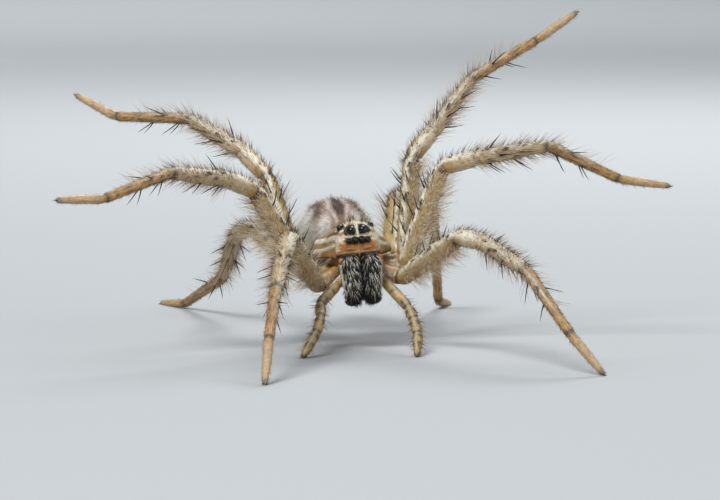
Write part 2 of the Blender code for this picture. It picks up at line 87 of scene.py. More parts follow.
# Mouth parts: centre and radii
MAXILLA = ((0.48, 1.12, -0.52), (0.34, 0.50, 0.36))
LABIUM = ((0.0, 1.35, -0.55), (0.30, 0.42, 0.30))

# Abdomen: y, half width, height of the underside, height of the top
ABDOMEN = [
    (5.30, 0.36, 1.05, 1.60),
    (5.50, 0.78, 0.68, 1.86),
    (5.85, 1.16, 0.10, 2.08),
    (6.40, 1.46, -0.48, 2.28),
    (7.30, 1.70, -0.95, 2.42),
    (8.30, 1.78, -1.10, 2.42),
    (9.30, 1.66, -1.00, 2.18),
    (10.2, 1.30, -0.70, 1.78),
    (10.9, 0.88, -0.36, 1.34),
    (11.4, 0.44, -0.02, 0.92),
]
ABDOMEN_ROUND = 0.95            # power of its cross-section
ABDOMEN_SLACK = 0.02            # how much deeper than elsewhere its skin lies

# Waist and spinnerets; of a spinneret the foot, the tip and the thickness at both
PEDICEL_RADIUS = 0.28
PEDICEL_HEIGHT = 0.46
PEDICEL_Y = (4.6, 6.2)
SPINNERETS = [
    ((0.20, 11.3, 0.50), (0.46, 12.90, 0.66), 0.40, 0.18),
    ((0.20, 11.3, 0.24), (0.27, 12.40, 0.10), 0.40, 0.24),
]

# Jaws: height, middle line's x and y, half width, half depth
CHELICERA = [
    (0.52, 0.48, 0.02, 0.30, 0.34),
    (0.40, 0.51, 0.02, 0.41, 0.48),
    (0.10, 0.53, -0.02, 0.46, 0.58),
    (-0.40, 0.52, -0.06, 0.45, 0.60),
    (-0.90, 0.49, -0.04, 0.43, 0.54),
    (-1.25, 0.46, 0.00, 0.40, 0.48),
    (-1.48, 0.44, 0.03, 0.36, 0.40),
    (-1.58, 0.43, 0.05, 0.28, 0.30),
]
JAW_SQUARE = 0.8                # power of a jaw's cross-section
JAW_FOOT = 0.19                 # height of the dome at its foot
BOSS = ((0.89, -0.25, 0.25), (0.15, 0.15, 0.16))    # shiny knob on the outer top corner of a jaw

# Folded fang: hinge, half axes of its arc, degrees where it starts and ends, thickness at both ends
FANG_HINGE = (0.42, 0.05, -1.64)
FANG_REACH = (0.31, 0.17)
FANG_ARC = (-8.0, 160.0)
FANG_THICKNESS = (0.28, 0.03)

# Eyes on the left side: name, place, diameter
EYES = [
    ("front_median", (0.145, -0.02, 1.12), 0.25),
    ("front_lateral", (0.425, 0.02, 1.10), 0.20),
    ("rear_median", (0.255, 0.16, 1.55), 0.41),
    ("rear_lateral", (0.690, 0.72, 1.66), 0.33),
]

# Left legs one to four: where the coxa ends, and where it starts inside the body
LEG_BASE = [(1.92, 0.75, -0.92), (2.22, 1.88, -0.55), (2.5, 3.2, -0.35), (2.05, 4.6, -0.35)]
COXA_ROOT = [(0.85, 1.45, -0.25), (0.95, 2.20, -0.30), (0.95, 3.05, -0.30), (0.80, 3.85, -0.30)]

# Femur, patella, tibia, metatarsus and tarsus of legs one to four
LEG_LENGTHS = [
    (5.1, 1.9, 3.6, 3.9, 2.3),
    (5.0, 1.6, 3.4, 3.7, 2.4),
    (4.8, 1.7, 3.3, 3.8, 2.4),
    (5.2, 1.9, 4.3, 5.6, 2.6),
]

# Thicknesses along the coxa and the five lengths
LEG_THICKNESS = [
    (0.56, 0.76),
    (0.78, 0.92, 0.96, 0.90, 0.80),
    (0.80, 0.88, 0.80),
    (0.80, 0.76, 0.62),
    (0.58, 0.54, 0.50),
    (0.50, 0.46, 0.34),
]

# Degrees of each length forward of straight out, and above level; with none it meets the floor
STANCE = {
    ("left", 1): [(64, 26), (66, -3), (66, -16), (58, -42), (38, None)],
    ("left", 2): [(15, 69), (18, 15), (0, 9), (-2, -25), (5, -8)],
    ("left", 3): [(-14, 86), (-32, 42), (-22, 48), (-20, 26), (-8, 33)],
    ("left", 4): [(-79, 29), (-68, -7), (-62, -12), (-76, -57), (-69, None)],
    ("right", 1): [(65, 31), (76, -19), (77, -20), (78, -28), (77, None)],
    ("right", 2): [(25, 55), (31, 21), (33, 8), (29, -16), (24, 1)],
    ("right", 3): [(-56, 63), (-34, 41), (-38, 26), (-32, 0), (-35, 24)],
    ("right", 4): [(-69, 17), (-72, -11), (-84, -36), (-76, -18), (-68, None)],
}

# Palps: the same tables
PALP_ROOT = (0.60, 0.95, -0.60)
PALP_BASE = (1.08, 0.54, -0.92)
PALP_LENGTHS = (1.90, 0.85, 1.10, 1.50)
PALP_THICKNESS = [(0.44, 0.50), (0.50, 0.56, 0.52), (0.52, 0.56, 0.52), (0.52, 0.52), (0.50, 0.48, 0.34)]
PALP_STANCE = {
    "left": [(51, -36), (80, -33), (87, -32), (100, None)],
    "right": [(56, -21), (87, -35), (70, -36), (48, None)],
}

CORNER_ROUNDING = 0.32          # how far from a joint the middle line starts to bend
LEG_WAIST = 0.13                # share of the thickness lost at a joint
PALP_WAIST = 0.22
WAIST_SPAN = 0.11               # half width of that waist
JOINT_SWELLING = ((-0.30, 0.05), (0.28, 0.04))      # place before and after a joint, share gained
SWELLING_SPAN = 0.16
TIP_ROUNDING = 0.22

# Leg spines: fraction along the length, degrees round it from its upper side, towards the front
SPINE_LENGTH = 0.88
SPINE_LENGTH_SPREAD = (0.85, 1.1)
SPINE_TURN_SPREAD = 8.0         # degrees that a spine may stand off its place
SPINE_PLACE_SPREAD = 0.02       # share of the length that it may stand off its place
SPINE_ROOT = 0.34               # thickness of a spine in the solids, which the floor rule below uses
SPINE_WIDTH = 0.070             # thickness of the real one at the skin
SPINE_SLANT = math.radians(48.0)    # away from the leg
SPINE_SPOT = 0.12               # size of the dark spot round the root of a spine
SPINE_BEND = 0.12               # how far its tip bends along the leg, as a share of its length
SPINE_SIDES = 5
SPINE_RINGS = ((-0.06, 0.9), (0.0, 1.0), (0.35, 0.8), (0.75, 0.45))     # share, relative thickness
FEMUR_SPINES = [(0.28, 0), (0.50, 0), (0.74, 0), (0.56, 50), (0.78, 50), (0.56, -46), (0.78, -46)]
TIBIA_SPINES = [(0.22, 0), (0.30, 90), (0.62, 90), (0.30, -90), (0.62, -90), (0.16, 155),
                (0.16, -155), (0.50, 155), (0.50, -155)]
METATARSUS_SPINES = [(0.14, 150), (0.14, -150), (0.48, 150), (0.48, -150), (0.30, 60), (0.30, -60)]

# Claws of a foot
CLAW_SIZE = (0.24, 0.07)        # length, thickness
CLAW_ROOT = (0.12, 0.05)        # behind the leg's tip, beside its middle line
CLAW_SPREAD = 0.25
CLAW_BEND = (0.0, 0.0, -0.10)

# Camera: turned about the spider, raised, and as far as the long lens was
CAMERA_AZIMUTH = math.radians(-8.0)
CAMERA_RISE = math.radians(5.0)
CAMERA_DISTANCE = 200.0
CAMERA_AIM = (0.0, 0.0, 0.45)
PIXELS_PER_MM = 22.0
AIM_PIXEL = (360.4, 254.5)      # where the aimed point stands in the 720 x 500 picture
PICTURE = (720, 500)
SENSOR_WIDTH = 36.0

# Marks of the limbs by place, which is length number plus share: middle, width, depth
LEG_RINGS = [
    (0.62, 0.04, 0.5), (0.955, 0.045, 1.2), (1.05, 0.012, 0.6), (1.975, 0.014, 1.0), (2.0, 0.06, 0.3),
    (2.03, 0.02, 0.5), (2.97, 0.03, 0.35), (3.96, 0.035, 1.0), (4.05, 0.02, 0.6), (4.97, 0.025, 1.0),
    (5.95, 0.05, 1.0),
]
LEG_BLOTCHES = [
    (2.09, 0.05, 0.7), (1.34, 0.025, 0.5), (1.60, 0.025, 0.6), (1.84, 0.03, 0.7), (2.30, 0.06, 0.5),
    (2.68, 0.06, 0.4), (3.20, 0.03, 0.7), (3.50, 0.035, 0.8), (3.76, 0.03, 0.6), (4.28, 0.035, 0.8),
    (4.62, 0.035, 0.7),
]
PALP_RINGS = [
    (0.92, 0.04, 0.9), (1.985, 0.035, 1.2), (2.10, 0.03, 0.5), (2.97, 0.06, 1.2), (3.12, 0.04, 0.5),
    (3.97, 0.05, 1.2), (4.95, 0.05, 0.8),
]
PALP_SPOTS = [
    (1.42, 0.035, 2.0), (1.84, 0.04, 2.0), (2.50, 0.10, 2.0), (3.40, 0.08, 2.0), (4.18, 0.05, 2.0),
    (4.50, 0.04, 2.0),
]

# Spots at the joints of a leg: place, its width, angle from the upper side to the front, its width
LEG_SPOTS = [
    (1.05, 0.025, 0.35, 0.16), (1.05, 0.025, 1.05, 0.16), (0.90, 0.02, 0.9, 0.14),
    (0.90, 0.02, 1.5, 0.14), (0.74, 0.03, 1.3, 0.5), (2.0, 0.03, 0.3, 0.4),
]

# White upper line of legs one to four, as angle and half width, and the dots on its two sides
LINE = {1: (0.95, 0.50), 2: (0.72, 0.32), 3: (0.72, 0.32), 4: (0.72, 0.32)}
DOT_PLACES = (1.18, 1.30, 1.43, 1.58, 1.74, 1.88, 2.24, 2.60, 3.12, 3.36, 3.62)
DOT_OFFSETS = (-0.06, 0.26)
DOT_SIZE = (0.026, 0.22)

# Rust in the base colour, and the number of short dark hairs, by place
LEG_WARMTH = ([0.0, 1.0, 1.15, 1.85, 2.0, 2.3, 3.0, 3.9, 4.1, 5.0, 6.0],
              [0.90, 0.75, 0.05, 0.30, 1.00, 0.75, 0.65, 0.70, 0.85, 0.90, 0.95])
PALP_WARMTH = ([0.0, 1.0, 1.3, 5.0], [1.0, 0.8, 0.35, 0.45])
STROKES = ([1.9, 2.1, 3.8, 4.0, 4.9, 5.2], [0.12, 0.40, 0.40, 1.2, 1.2, 0.6])

# Slants of the two waves whose product makes creases, white patches and flecks
CREASE_WAVES = ((23.0, -5.0), (31.0, 4.0))
PATCH_WAVES = ((17.0, 2.0), (9.0, -3.0))
LEG_FLECK_WAVES = ((37.0, 3.0), (29.0, -4.0))
PALP_FLECK_WAVES = ((41.0, 3.0), (27.0, -4.0))
ABDOMEN_FLECK_WAVES = ((11.0, 5.0), (-3.0, 13.0))

# Heart mark of the abdomen: its half width by y; and where the pairs of pale spots behind it stand
HEART_WIDTH = ([5.4, 6.2, 7.2, 8.2], [0.16, 0.30, 0.22, 0.06])
SPOT_PLACES = (7.1, 7.9, 8.65, 9.35, 10.0, 10.55)

# Height of the two white bands on the shield's flank, by y
UPPER_BAND = ([0.0, 0.3, 0.7, 1.2, 1.8, 2.5, 3.5, 5.0], [1.16, 1.20, 1.26, 1.20, 1.07, 0.99, 0.88, 0.50])
LOWER_BAND = ([0.0, 0.3, 1.0, 1.8, 2.6, 3.5, 5.0], [1.05, 1.02, 0.84, 0.62, 0.52, 0.48, 0.42])

# Fineness of each surface: rings along it, for a limb along each length, and columns round it
SHIELD_GRID = (110, 128)
ABDOMEN_GRID = (90, 80)
STERNUM_GRID = (40, 48)
JAW_GRID = (64, 48)
FANG_GRID = (40, 20)
BALL_GRID = (20, 28)
CONE_GRID = (22, 20)
LEG_GRID = (18, 28)
PALP_GRID = (16, 24)
DOME_RINGS = 9

# Hair: shares of its length at which its rings stand, depth of its root, taper, least rise
SHORT_HAIR = (0.0, 0.5)
LONG_HAIR = (0.0, 0.33, 0.67)
ROOT_DEPTH = 0.03
HAIR_TAPER = 0.55
LEAST_RISE = 0.06
HAIR_CLEARANCE = 0.01           # no hair reaches closer to the floor
BAKE_PATCH = 0.003              # side of a hair's patch on the bake map
DARK_HAIR = {"dark": 1.0, "pale": 0.0}
WHITE_HAIR = {"dark": 0.0, "pale": 1.0}

# Seeds; the spines' is the one of the solids
SEEDS = {"spines": 7, "legs": 100, "palps": 200, "jaws": 300, "abdomen": 301, "thorax": 302}

# Sides, each with the sign of its x
SIDES = {"left": 1.0, "right": -1.0}

# Finishes of the skin, in the order of its materials
LEG_SKIN, SHIELD_SKIN, ABDOMEN_SKIN = 0, 1, 2

# Paper sweep, in metres: half width, y of its front and of its bend, radius of the bend, height
SWEEP = (0.8, -0.5, 0.60, 0.15, 0.6)

# Lights, in metres: name, place, aimed point, size, power, spread in degrees
MODEL_MIDDLE = (0.0, -0.004, 0.004)
LIGHTS = [
    ("key", (-0.15, -0.21, 0.30), MODEL_MIDDLE, 0.16, 1.35, 180.0),
    ("fill", (0.30, -0.15, 0.12), MODEL_MIDDLE, 0.24, 0.34, 180.0),
    ("rim", (0.06, 0.18, 0.16), MODEL_MIDDLE, 0.10, 0.32, 180.0),
    ("wash", (0.0, 0.46, 0.40), (0.0, 0.48, 0.0), 0.40, 0.55, 90.0),
]
SKY = ("#DDE4EA", 0.32)


def unit(vectors):
    """Vectors divided by their own lengths."""
    return vectors / np.maximum(np.linalg.norm(vectors, axis=-1, keepdims=True), 1e-9)


def near(value, middle, width):
    """Bell curve: exp of minus the square of the distance from the middle over the width."""
    return np.exp(-((value - middle) / width) ** 2)


def ramp(value, start, end):
    """Smooth step: 0 before the start, 1 past the end, 3 s squared minus 2 s cubed between."""
    s = np.clip((value - start) / (end - start), 0.0, 1.0)
    return s * s * (3.0 - 2.0 * s)


def fade(value, start, end):
    """The smooth step turned round: 1 before the start, 0 past the end."""
    return 1.0 - ramp(value, start, end)


def between(value, start, full, falling, end):
    """Smooth hill: 0 before the start, 1 from full to falling, 0 past the end."""
    return ramp(value, start, full) * fade(value, falling, end)


def weave(first, second, waves, start, end):
    """Small irregular flecks: the product of two slanted sine waves, cut by a smooth step."""
    (a, b), (c, d) = waves
    return ramp(np.sin(a * first + b * second) * np.sin(c * first + d * second), start, end)


def turns(columns):
    """Angles of the columns of a ring, in radians."""
    return np.arange(columns) * 2.0 * math.pi / columns


def grid_points(x, y, z):
    """Points of a grid, from coordinates of which each may be one value, a row, a column or a grid."""
    return np.stack(np.broadcast_arrays(x, y, z), axis=-1)


def across_of(along):
    """Level unit vector across a direction, and the one upward from both."""
    level = unit(np.cross(along, (0.0, 0.0, 1.0)))
    return level, np.cross(level, along)


def power(value, exponent):
    """Signed power, which squares or pinches a round outline."""
    return np.sign(value) * np.abs(value) ** exponent


def lean(points):
    """Points of the level body, turned about the long axis as the body is carried."""
    x, y, z = np.moveaxis(np.asarray(points, float), -1, 0)
    c, s = math.cos(BODY_LEAN), math.sin(BODY_LEAN)
    return np.stack([x * c - z * s, y, x * s + z * c], axis=-1)


def mirrored(points, side):
    """Points given for the left side, on the side asked for."""
    return np.asarray(points, float) * np.array([SIDES[side], 1.0, 1.0])


def frame_origin():
    """The frame's origin in the body's millimetres, read from one eye's box."""
    low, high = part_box("eye_left_front_median")
    middle = 0.5 * (np.array(low) + np.array(high)) / MM
    return lean(EYES[0][1]) - middle


def placed(points):
    """Points of the body's frame in the frame's metres."""
    return (points - ORIGIN) * MM


def smooth_rows(rows, count):
    """Rows of a short table read at more places, by a cubic with the table's own slopes."""
    table = np.array(rows, float)
    slopes = np.gradient(table, axis=0)
    at = np.linspace(0.0, len(table) - 1.0, count)
    low = np.minimum(at.astype(int), len(table) - 2)
    t = (at - low)[:, None]
    return ((2 * t**3 - 3 * t**2 + 1) * table[low] + (t**3 - 2 * t**2 + t) * slopes[low]
            + (3 * t**2 - 2 * t**3) * table[low + 1] + (t**3 - t**2) * slopes[low + 1])


def surface(points, marks, finish=0, **kept):
    """Grid of rings as one closed skin, with its normals, its marks and the lie of its coat.

    A normal is the cross product of the differences along and round the grid. Where that points at
    the rings' middles, the columns are reversed. The coat lies along the grid. Grids given as kept
    go with the surface, but not into its mesh.
    """
    grids = {name: np.broadcast_to(grid, points.shape[:2]) for name, grid in {**marks, **kept}.items()}
    lie = np.gradient(points, axis=0)
    normals = np.cross(lie, np.roll(points, -1, axis=1) - np.roll(points, 1, axis=1))
    outward = points - points.mean(axis=1, keepdims=True)
    if np.sum(normals * outward) < 0.0:
        points, lie, normals = points[:, ::-1], lie[:, ::-1], -normals[:, ::-1]
        grids = {name: grid[:, ::-1] for name, grid in grids.items()}
    return {"points": points, "normals": unit(normals), "lie": unit(lie), "finish": finish,
            "marks": {name: grids.pop(name) for name in marks}, **grids}


def linked(name, data):
    """New object of the scene from its mesh, lamp or camera."""
    made = bpy.data.objects.new(name, data)
    bpy.context.scene.collection.objects.link(made)
    return made


def mesh_object(name, points, faces, marks, finishes, slots=None, uv=None):
    """Mesh from arrays: points in millimetres, faces as arrays of quads or triangles."""
    mesh = bpy.data.meshes.new(name)
    mesh.vertices.add(len(points))
    mesh.vertices.foreach_set("co", placed(points).astype(np.float32).ravel())
    corners = np.concatenate([block.ravel() for block in faces])
    sizes = np.concatenate([np.full(len(block), block.shape[1]) for block in faces])
    mesh.loops.add(len(corners))
    mesh.loops.foreach_set("vertex_index", corners.astype(np.int32))
    mesh.polygons.add(len(sizes))
    mesh.polygons.foreach_set("loop_start", (np.cumsum(sizes) - sizes).astype(np.int32))
    for finish in finishes:
        mesh.materials.append(finish)
    if slots is not None:
        mesh.polygons.foreach_set("material_index", slots.astype(np.int32))
    mesh.update(calc_edges=True)
    for mark, values in marks.items():
        layer = mesh.attributes.new(mark, "FLOAT", "POINT")
        layer.data.foreach_set("value", values.astype(np.float32).ravel())
    if uv is not None:
        layer = mesh.uv_layers.new(name="OFBake")
        layer.data.foreach_set("uv", uv[corners].astype(np.float32).ravel())
    mesh.validate()
    mesh.shade_smooth()
    return linked(name, mesh)


def skin_object(name, surfaces, finishes):
    """One mesh of closed surfaces: quads between rings, and a fan of triangles on each end."""
    points, quads, fans, quad_slots, fan_slots, first = [], [], [], [], [], 0
    marks = {mark: [] for mark in surfaces[0]["marks"]}
    for part in surfaces:
        rings = part["points"]
        rows, columns = rings.shape[:2]
        start, end = first + rows * columns, first + rows * columns + 1
        index = first + np.arange(rows * columns).reshape(rows, columns)
        after = np.roll(index, -1, axis=1)
        quads.append(np.stack([index[:-1], index[1:], after[1:], after[:-1]], axis=-1).reshape(-1, 4))
        fans.append(np.stack([np.full(columns, start), index[0], after[0]], axis=-1))
        fans.append(np.stack([np.full(columns, end), after[-1], index[-1]], axis=-1))
        quad_slots.append(np.full(len(quads[-1]), part["finish"]))
        fan_slots.append(np.full(2 * columns, part["finish"]))
        points += [rings.reshape(-1, 3), rings[:1].mean(axis=1), rings[-1:].mean(axis=1)]
        for mark, grid in part["marks"].items():
            marks[mark] += [grid.ravel(), grid[:1].mean(axis=1), grid[-1:].mean(axis=1)]
        first = end + 1
    faces = [np.concatenate(quads), np.concatenate(fans)]
    slots = np.concatenate(quad_slots + fan_slots)
    joined = {mark: np.concatenate(values) for mark, values in marks.items()}
    return mesh_object(name, np.concatenate(points), faces, joined, finishes, slots)


def scatter(part, count, draw, weight=None):
    """Random roots on a surface, each cell as likely as its area times the weight at its corner.

    A root's values are read between the four corners of its cell, by the two random shares.
    """
    grid = part["points"]
    columns = grid.shape[1]
    after = np.roll(grid, -1, axis=1)
    areas = np.linalg.norm(np.cross(after[1:] - grid[:-1], after[:-1] - grid[1:]), axis=-1)
    if weight is not None:
        areas = areas * np.broadcast_to(weight, grid.shape[:2])[:-1]
    chance = np.cumsum(areas.ravel())
    row, column = np.divmod(np.searchsorted(chance, draw.random(count) * chance[-1]), columns)
    f, g = draw.random((2, count))

    def read(values):
        values = np.concatenate([values, values[:, :1]], axis=1)
        shape = (-1,) + (1,) * (values.ndim - 2)
        s, t = f.reshape(shape), g.reshape(shape)
        return ((1 - s) * ((1 - t) * values[row, column] + t * values[row, column + 1])
                + s * ((1 - t) * values[row + 1, column] + t * values[row + 1, column + 1]))

    return {
        "points": read(grid), "normals": unit(read(part["normals"])), "lie": unit(read(part["lie"])),
        "marks": {mark: read(values) for mark, values in part["marks"].items()},
        "uv": np.stack([(column + g) / columns, (row + f) / (grid.shape[0] - 1)], axis=1),
    }


def hairs(roots, draw, length, width, lift, bow=0.25, spread=0.2, marks=None, joints=SHORT_HAIR):
    """Tapered three-sided hairs on scattered roots.

    A hair starts along cos(lift) times the lie plus sin(lift) times the normal, with a random
    spread, and its middle line adds bow times the lie times the squared share of its length. Each
    ring is a triangle about that line, and the last point is the tip. Lengths, widths and lifts are
    drawn evenly from their ranges.
    """
    count = len(roots["points"])
    normal, lie = roots["normals"], roots["lie"]
    lie = unit(lie - normal * np.sum(lie * normal, axis=1, keepdims=True))
    angle = np.radians(draw.uniform(*lift, count))[:, None]
    heading = unit(np.cos(angle) * lie + np.sin(angle) * normal + spread * draw.normal(size=(count, 3)))
    rise = np.sum(heading * normal, axis=1, keepdims=True)
    heading = unit(heading + normal * np.maximum(LEAST_RISE - rise, 0.0))
    reach = draw.uniform(*length, count)[:, None]
    thick = draw.uniform(*width, count)[:, None]
    across = unit(np.cross(heading, normal + 0.01))
    other = np.cross(heading, across)
    rings = []
    for share in joints:
        middle = roots["points"] - ROOT_DEPTH * normal + reach * (share * heading + bow * share**2 * lie)
        for turn in turns(3):
            rings.append(middle + 0.5 * thick * (1.0 - HAIR_TAPER * share)
                         * (math.cos(turn) * across + math.sin(turn) * other))
    rings.append(roots["points"] + reach * (heading + bow * lie))
    points = np.stack(rings, axis=1)
    points[..., 2] = np.maximum(points[..., 2], FLOOR + HAIR_CLEARANCE)
    values = dict(roots["marks"])
    values.update({name: np.full(count, value) for name, value in (marks or {}).items()})
    values["tone"] = draw.random(count)
    return {"points": points, "marks": values, "reach": np.append(np.repeat(joints, 3), 1.0),
            "uv": roots["uv"], "rings": len(joints)}


def coat(part, draw, rows):
    """Batches of hairs on a surface, from rows of their count, their weight and what hairs takes."""
    return [hairs(scatter(part, count, draw, weight), draw, *look) for count, weight, *look in rows]


def coat_object(name, batches, finish):
    """One mesh of hairs, with the tuft patches of its bake map.

    Each hair's patch is 0.003 across and starts at its root's place on the unwrapped surface.
    """
    points, marks, uv, quads, triangles, first = [], {}, [], [], [], 0
    for batch in batches:
        count, size = batch["points"].shape[:2]
        base = first + size * np.arange(count)[:, None]
        triangles.append(base + np.array([[0, 2, 1]]))
        for ring in range(batch["rings"] - 1):
            for k in range(3):
                low, high = 3 * ring + k, 3 * ring + (k + 1) % 3
                quads.append(base + np.array([[low, high, high + 3, low + 3]]))
        last = 3 * (batch["rings"] - 1)
        for k in range(3):
            triangles.append(base + np.array([[last + k, last + (k + 1) % 3, size - 1]]))
        points.append(batch["points"].reshape(-1, 3))
        for mark, values in batch["marks"].items():
            marks.setdefault(mark, []).append(np.repeat(values, size))
        marks.setdefault("reach", []).append(np.tile(batch["reach"], count))
        corner = np.stack([np.arange(size) % 3 / 2.0, batch["reach"]], axis=1)
        uv.append((batch["uv"][:, None] * (1.0 - BAKE_PATCH) + BAKE_PATCH * corner).reshape(-1, 2))
        first += count * size
    faces = [np.concatenate(block) for block in (quads, triangles)]
    joined = {mark: np.concatenate(values) for mark, values in marks.items()}
    return mesh_object(name, np.concatenate(points), faces, joined, [finish], uv=np.concatenate(uv))


def heading_of(side, sweep, rise):
    """Unit vector from two angles in degrees: forward of straight out, and above level."""
    sweep, rise = math.radians(sweep), math.radians(rise)
    out, forward = math.cos(rise) * math.cos(sweep), math.cos(rise) * math.sin(sweep)
    return np.array([SIDES[side] * out, -forward, math.sin(rise)])


def limb_joints(base, lengths, stance, side):
    """Joint points of a limb; a length with no rise is turned down until it meets the floor."""
    points = [lean(mirrored(base, side))]
    for length, (sweep, rise) in zip(lengths, stance):
        if rise is None:
            rise = math.degrees(math.asin((FLOOR + TOE_CLEARANCE - points[-1][2]) / length))
        points.append(points[-1] + length * heading_of(side, sweep, rise))
    return points


def from_joint(place, spans, j):
    """Distance along the limb from a joint, negative before it."""
    return np.where(place < j, (place - j) * spans[j - 1], (place - j) * spans[j])


def limb_line(joints, rings):
    """Middle line through the joints, each corner replaced by a parabola.

    The place is length number plus share, and its rings stand closer together at the joints. Closer
    to a joint than the rounding, the line is read from the parabola that starts and ends that far
    from the joint and has the joint as its control point.
    """
    joints = np.array(joints)
    spans = np.linalg.norm(np.diff(joints, axis=0), axis=1)
    even = np.linspace(0.0, 1.0, rings, endpoint=False)
    share = 0.45 * even + 0.55 * (0.5 - 0.5 * np.cos(math.pi * even))
    place = np.append((np.arange(len(spans))[:, None] + share).ravel(), len(spans))
    k = np.minimum(place.astype(int), len(spans) - 1)
    line = joints[k] + (place - k)[:, None] * (joints[k + 1] - joints[k])
    for j in range(1, len(spans)):
        trim = min(CORNER_ROUNDING, 0.45 * spans[j - 1], 0.45 * spans[j])
        start = joints[j] - trim * unit(joints[j] - joints[j - 1])
        end = joints[j] + trim * unit(joints[j + 1] - joints[j])
        offset = from_joint(place, spans, j)
        u = (0.5 + 0.5 * offset / trim)[:, None]
        curve = (1 - u) ** 2 * start + 2 * u * (1 - u) * joints[j] + u**2 * end
        line = np.where(np.abs(offset)[:, None] < trim, curve, line)
    return place, line, spans


def limb_radius(place, thicknesses, spans, waist):
    """Radius along a limb: the named thicknesses, a waist at each joint and a round tip.

    The waist is a bell curve, with a slight swelling before and after it.
    """
    knots, widths = [], []
    for k, row in enumerate(thicknesses):
        row = list(row)
        if k > 0:
            row[0] = 0.5 * (row[0] + thicknesses[k - 1][-1])
        knots += list(k + np.linspace(0.0, 1.0, len(row)))[:-1]
        widths += row[:-1]
    knots.append(float(len(thicknesses)))
    widths.append(thicknesses[-1][-1])
    radius = 0.5 * np.interp(place, knots, widths) - COAT_DEPTH
    (before, more_before), (after, more_after) = JOINT_SWELLING
    for j in range(1, len(spans)):
        offset = from_joint(place, spans, j)
        radius *= (1.0 - waist * near(offset, 0.0, WAIST_SPAN)
                   + more_before * near(offset, before, SWELLING_SPAN))
        radius *= 1.0 + more_after * near(offset, after, SWELLING_SPAN)
    for left in ((len(spans) - place) * spans[-1], place * spans[0]):
        short = np.clip(1.0 - left / TIP_ROUNDING, 0.0, 1.0)
        radius *= np.sqrt(np.maximum(1.0 - short**2, 0.02))
    return radius


def limb_surface(side, joints, thicknesses, marker, waist, grid, spines=()):
    """Skin of a limb: circles about the middle line, with angles from its upper side to the front.

    The dark mark is raised round each spine's root, as a bell curve of the distance from it.
    """
    rings, columns = grid
    place, line, spans = limb_line(joints, rings)
    level, upward = across_of(unit(np.gradient(line, axis=0)))
    angle = turns(columns)
    around = (np.cos(angle)[None, :, None] * upward[:, None]
              + np.sin(angle)[None, :, None] * level[:, None])
    points = line[:, None] + limb_radius(place, thicknesses, spans, waist)[:, None, None] * around
    signed = ((angle + math.pi) % (2.0 * math.pi) - math.pi) * SIDES[side]
    marks = marker(place[:, None], signed[None, :])
    for root, _, _, _ in spines:
        spot = near(np.linalg.norm(points - root, axis=-1), 0.0, SPINE_SPOT)
        marks["dark"] = np.maximum(marks["dark"], 0.95 * spot)
        marks["pale"] = marks["pale"] * (1.0 - spot)
    return surface(points, marks, LEG_SKIN, place=place[:, None], angle=signed)


def leg_dots(place, angle, line_angle):
    """Small dark dots, on the two sides of the white upper line in turn."""
    long, wide = DOT_SIZE
    return sum(near(place, at, long) * near(angle, line_angle + DOT_OFFSETS[k % 2], wide)
               for k, at in enumerate(DOT_PLACES))


def ringed(place, rings):
    """Sum of bell curves along a limb, from the middle, width and depth of each ring."""
    return sum(depth * near(place, middle, width) for middle, width, depth in rings)


def leg_marks(place, angle, line):
    """Rings and blotches, white upper line, dots, creases and rust of a leg, by place and angle.

    Blotches stand in front and, a little farther out, behind. The line pales them, and gives way to
    the dots and spots. The coxa has creases and white patches, and the far lengths dark flecks.
    """
    white = near(angle, *line) * ramp(place, 1.03, 1.12) * (1.0 - 0.65 * ramp(place, 2.4, 3.1))
    white = white * fade(place, 4.3, 4.8)
    spots = leg_dots(place, angle, line[0])
    spots = spots + sum(near(place, at, long) * near(angle, turn, wide) for at, long, turn, wide in LEG_SPOTS)
    dark = ringed(place, LEG_RINGS) + ringed(place, LEG_BLOTCHES) * near(angle, 0.9, 0.5)
    dark = dark + 0.8 * ringed(place - 0.03, LEG_BLOTCHES) * near(angle, -0.9, 0.5)
    joint = np.clip(near(place, 0.97, 0.10) + fade(place, 0.9, 1.0), 0, 1)
    crease = weave(place, angle, CREASE_WAVES, 0.35, 0.8) * joint
    flecks = weave(place, angle, LEG_FLECK_WAVES, 0.1, 0.8) * ramp(place, 3.95, 4.1)
    flecks = flecks * (1.0 - 0.65 * ramp(place, 4.9, 5.2))
    dark = np.maximum.reduce([1.3 * dark * (1.0 - 0.6 * white), 0.3 * crease, 0.75 * flecks, spots])
    base = between(place, 0.3, 0.5, 0.92, 1.0)
    patches = base * weave(place, angle, PATCH_WAVES, 0.0, 0.5) * fade(place, 0.86, 0.93)
    shin = between(place, 2.2, 2.5, 3.8, 4.0)
    pale = white + 0.10 * (0.55 + 0.45 * np.cos(angle)) * ramp(place, 1.0, 1.3)
    pale = pale + 0.24 * shin + 0.08 * base + 0.34 * patches + 0.14 * ramp(place, 5.0, 5.2)
    pale = pale + 0.2 * near(np.abs(angle), 2.3, 0.4) * between(place, 1.05, 1.2, 1.85, 1.95)
    warm = np.interp(place, *LEG_WARMTH) + 0.70 * near(np.abs(angle), 2.5, 0.6) * near(place, 1.4, 0.4)
    return {"dark": np.clip(dark, 0, 1), "pale": np.clip(pale, 0, 1) * (1.0 - np.clip(spots, 0, 1)),
            "warm": warm}


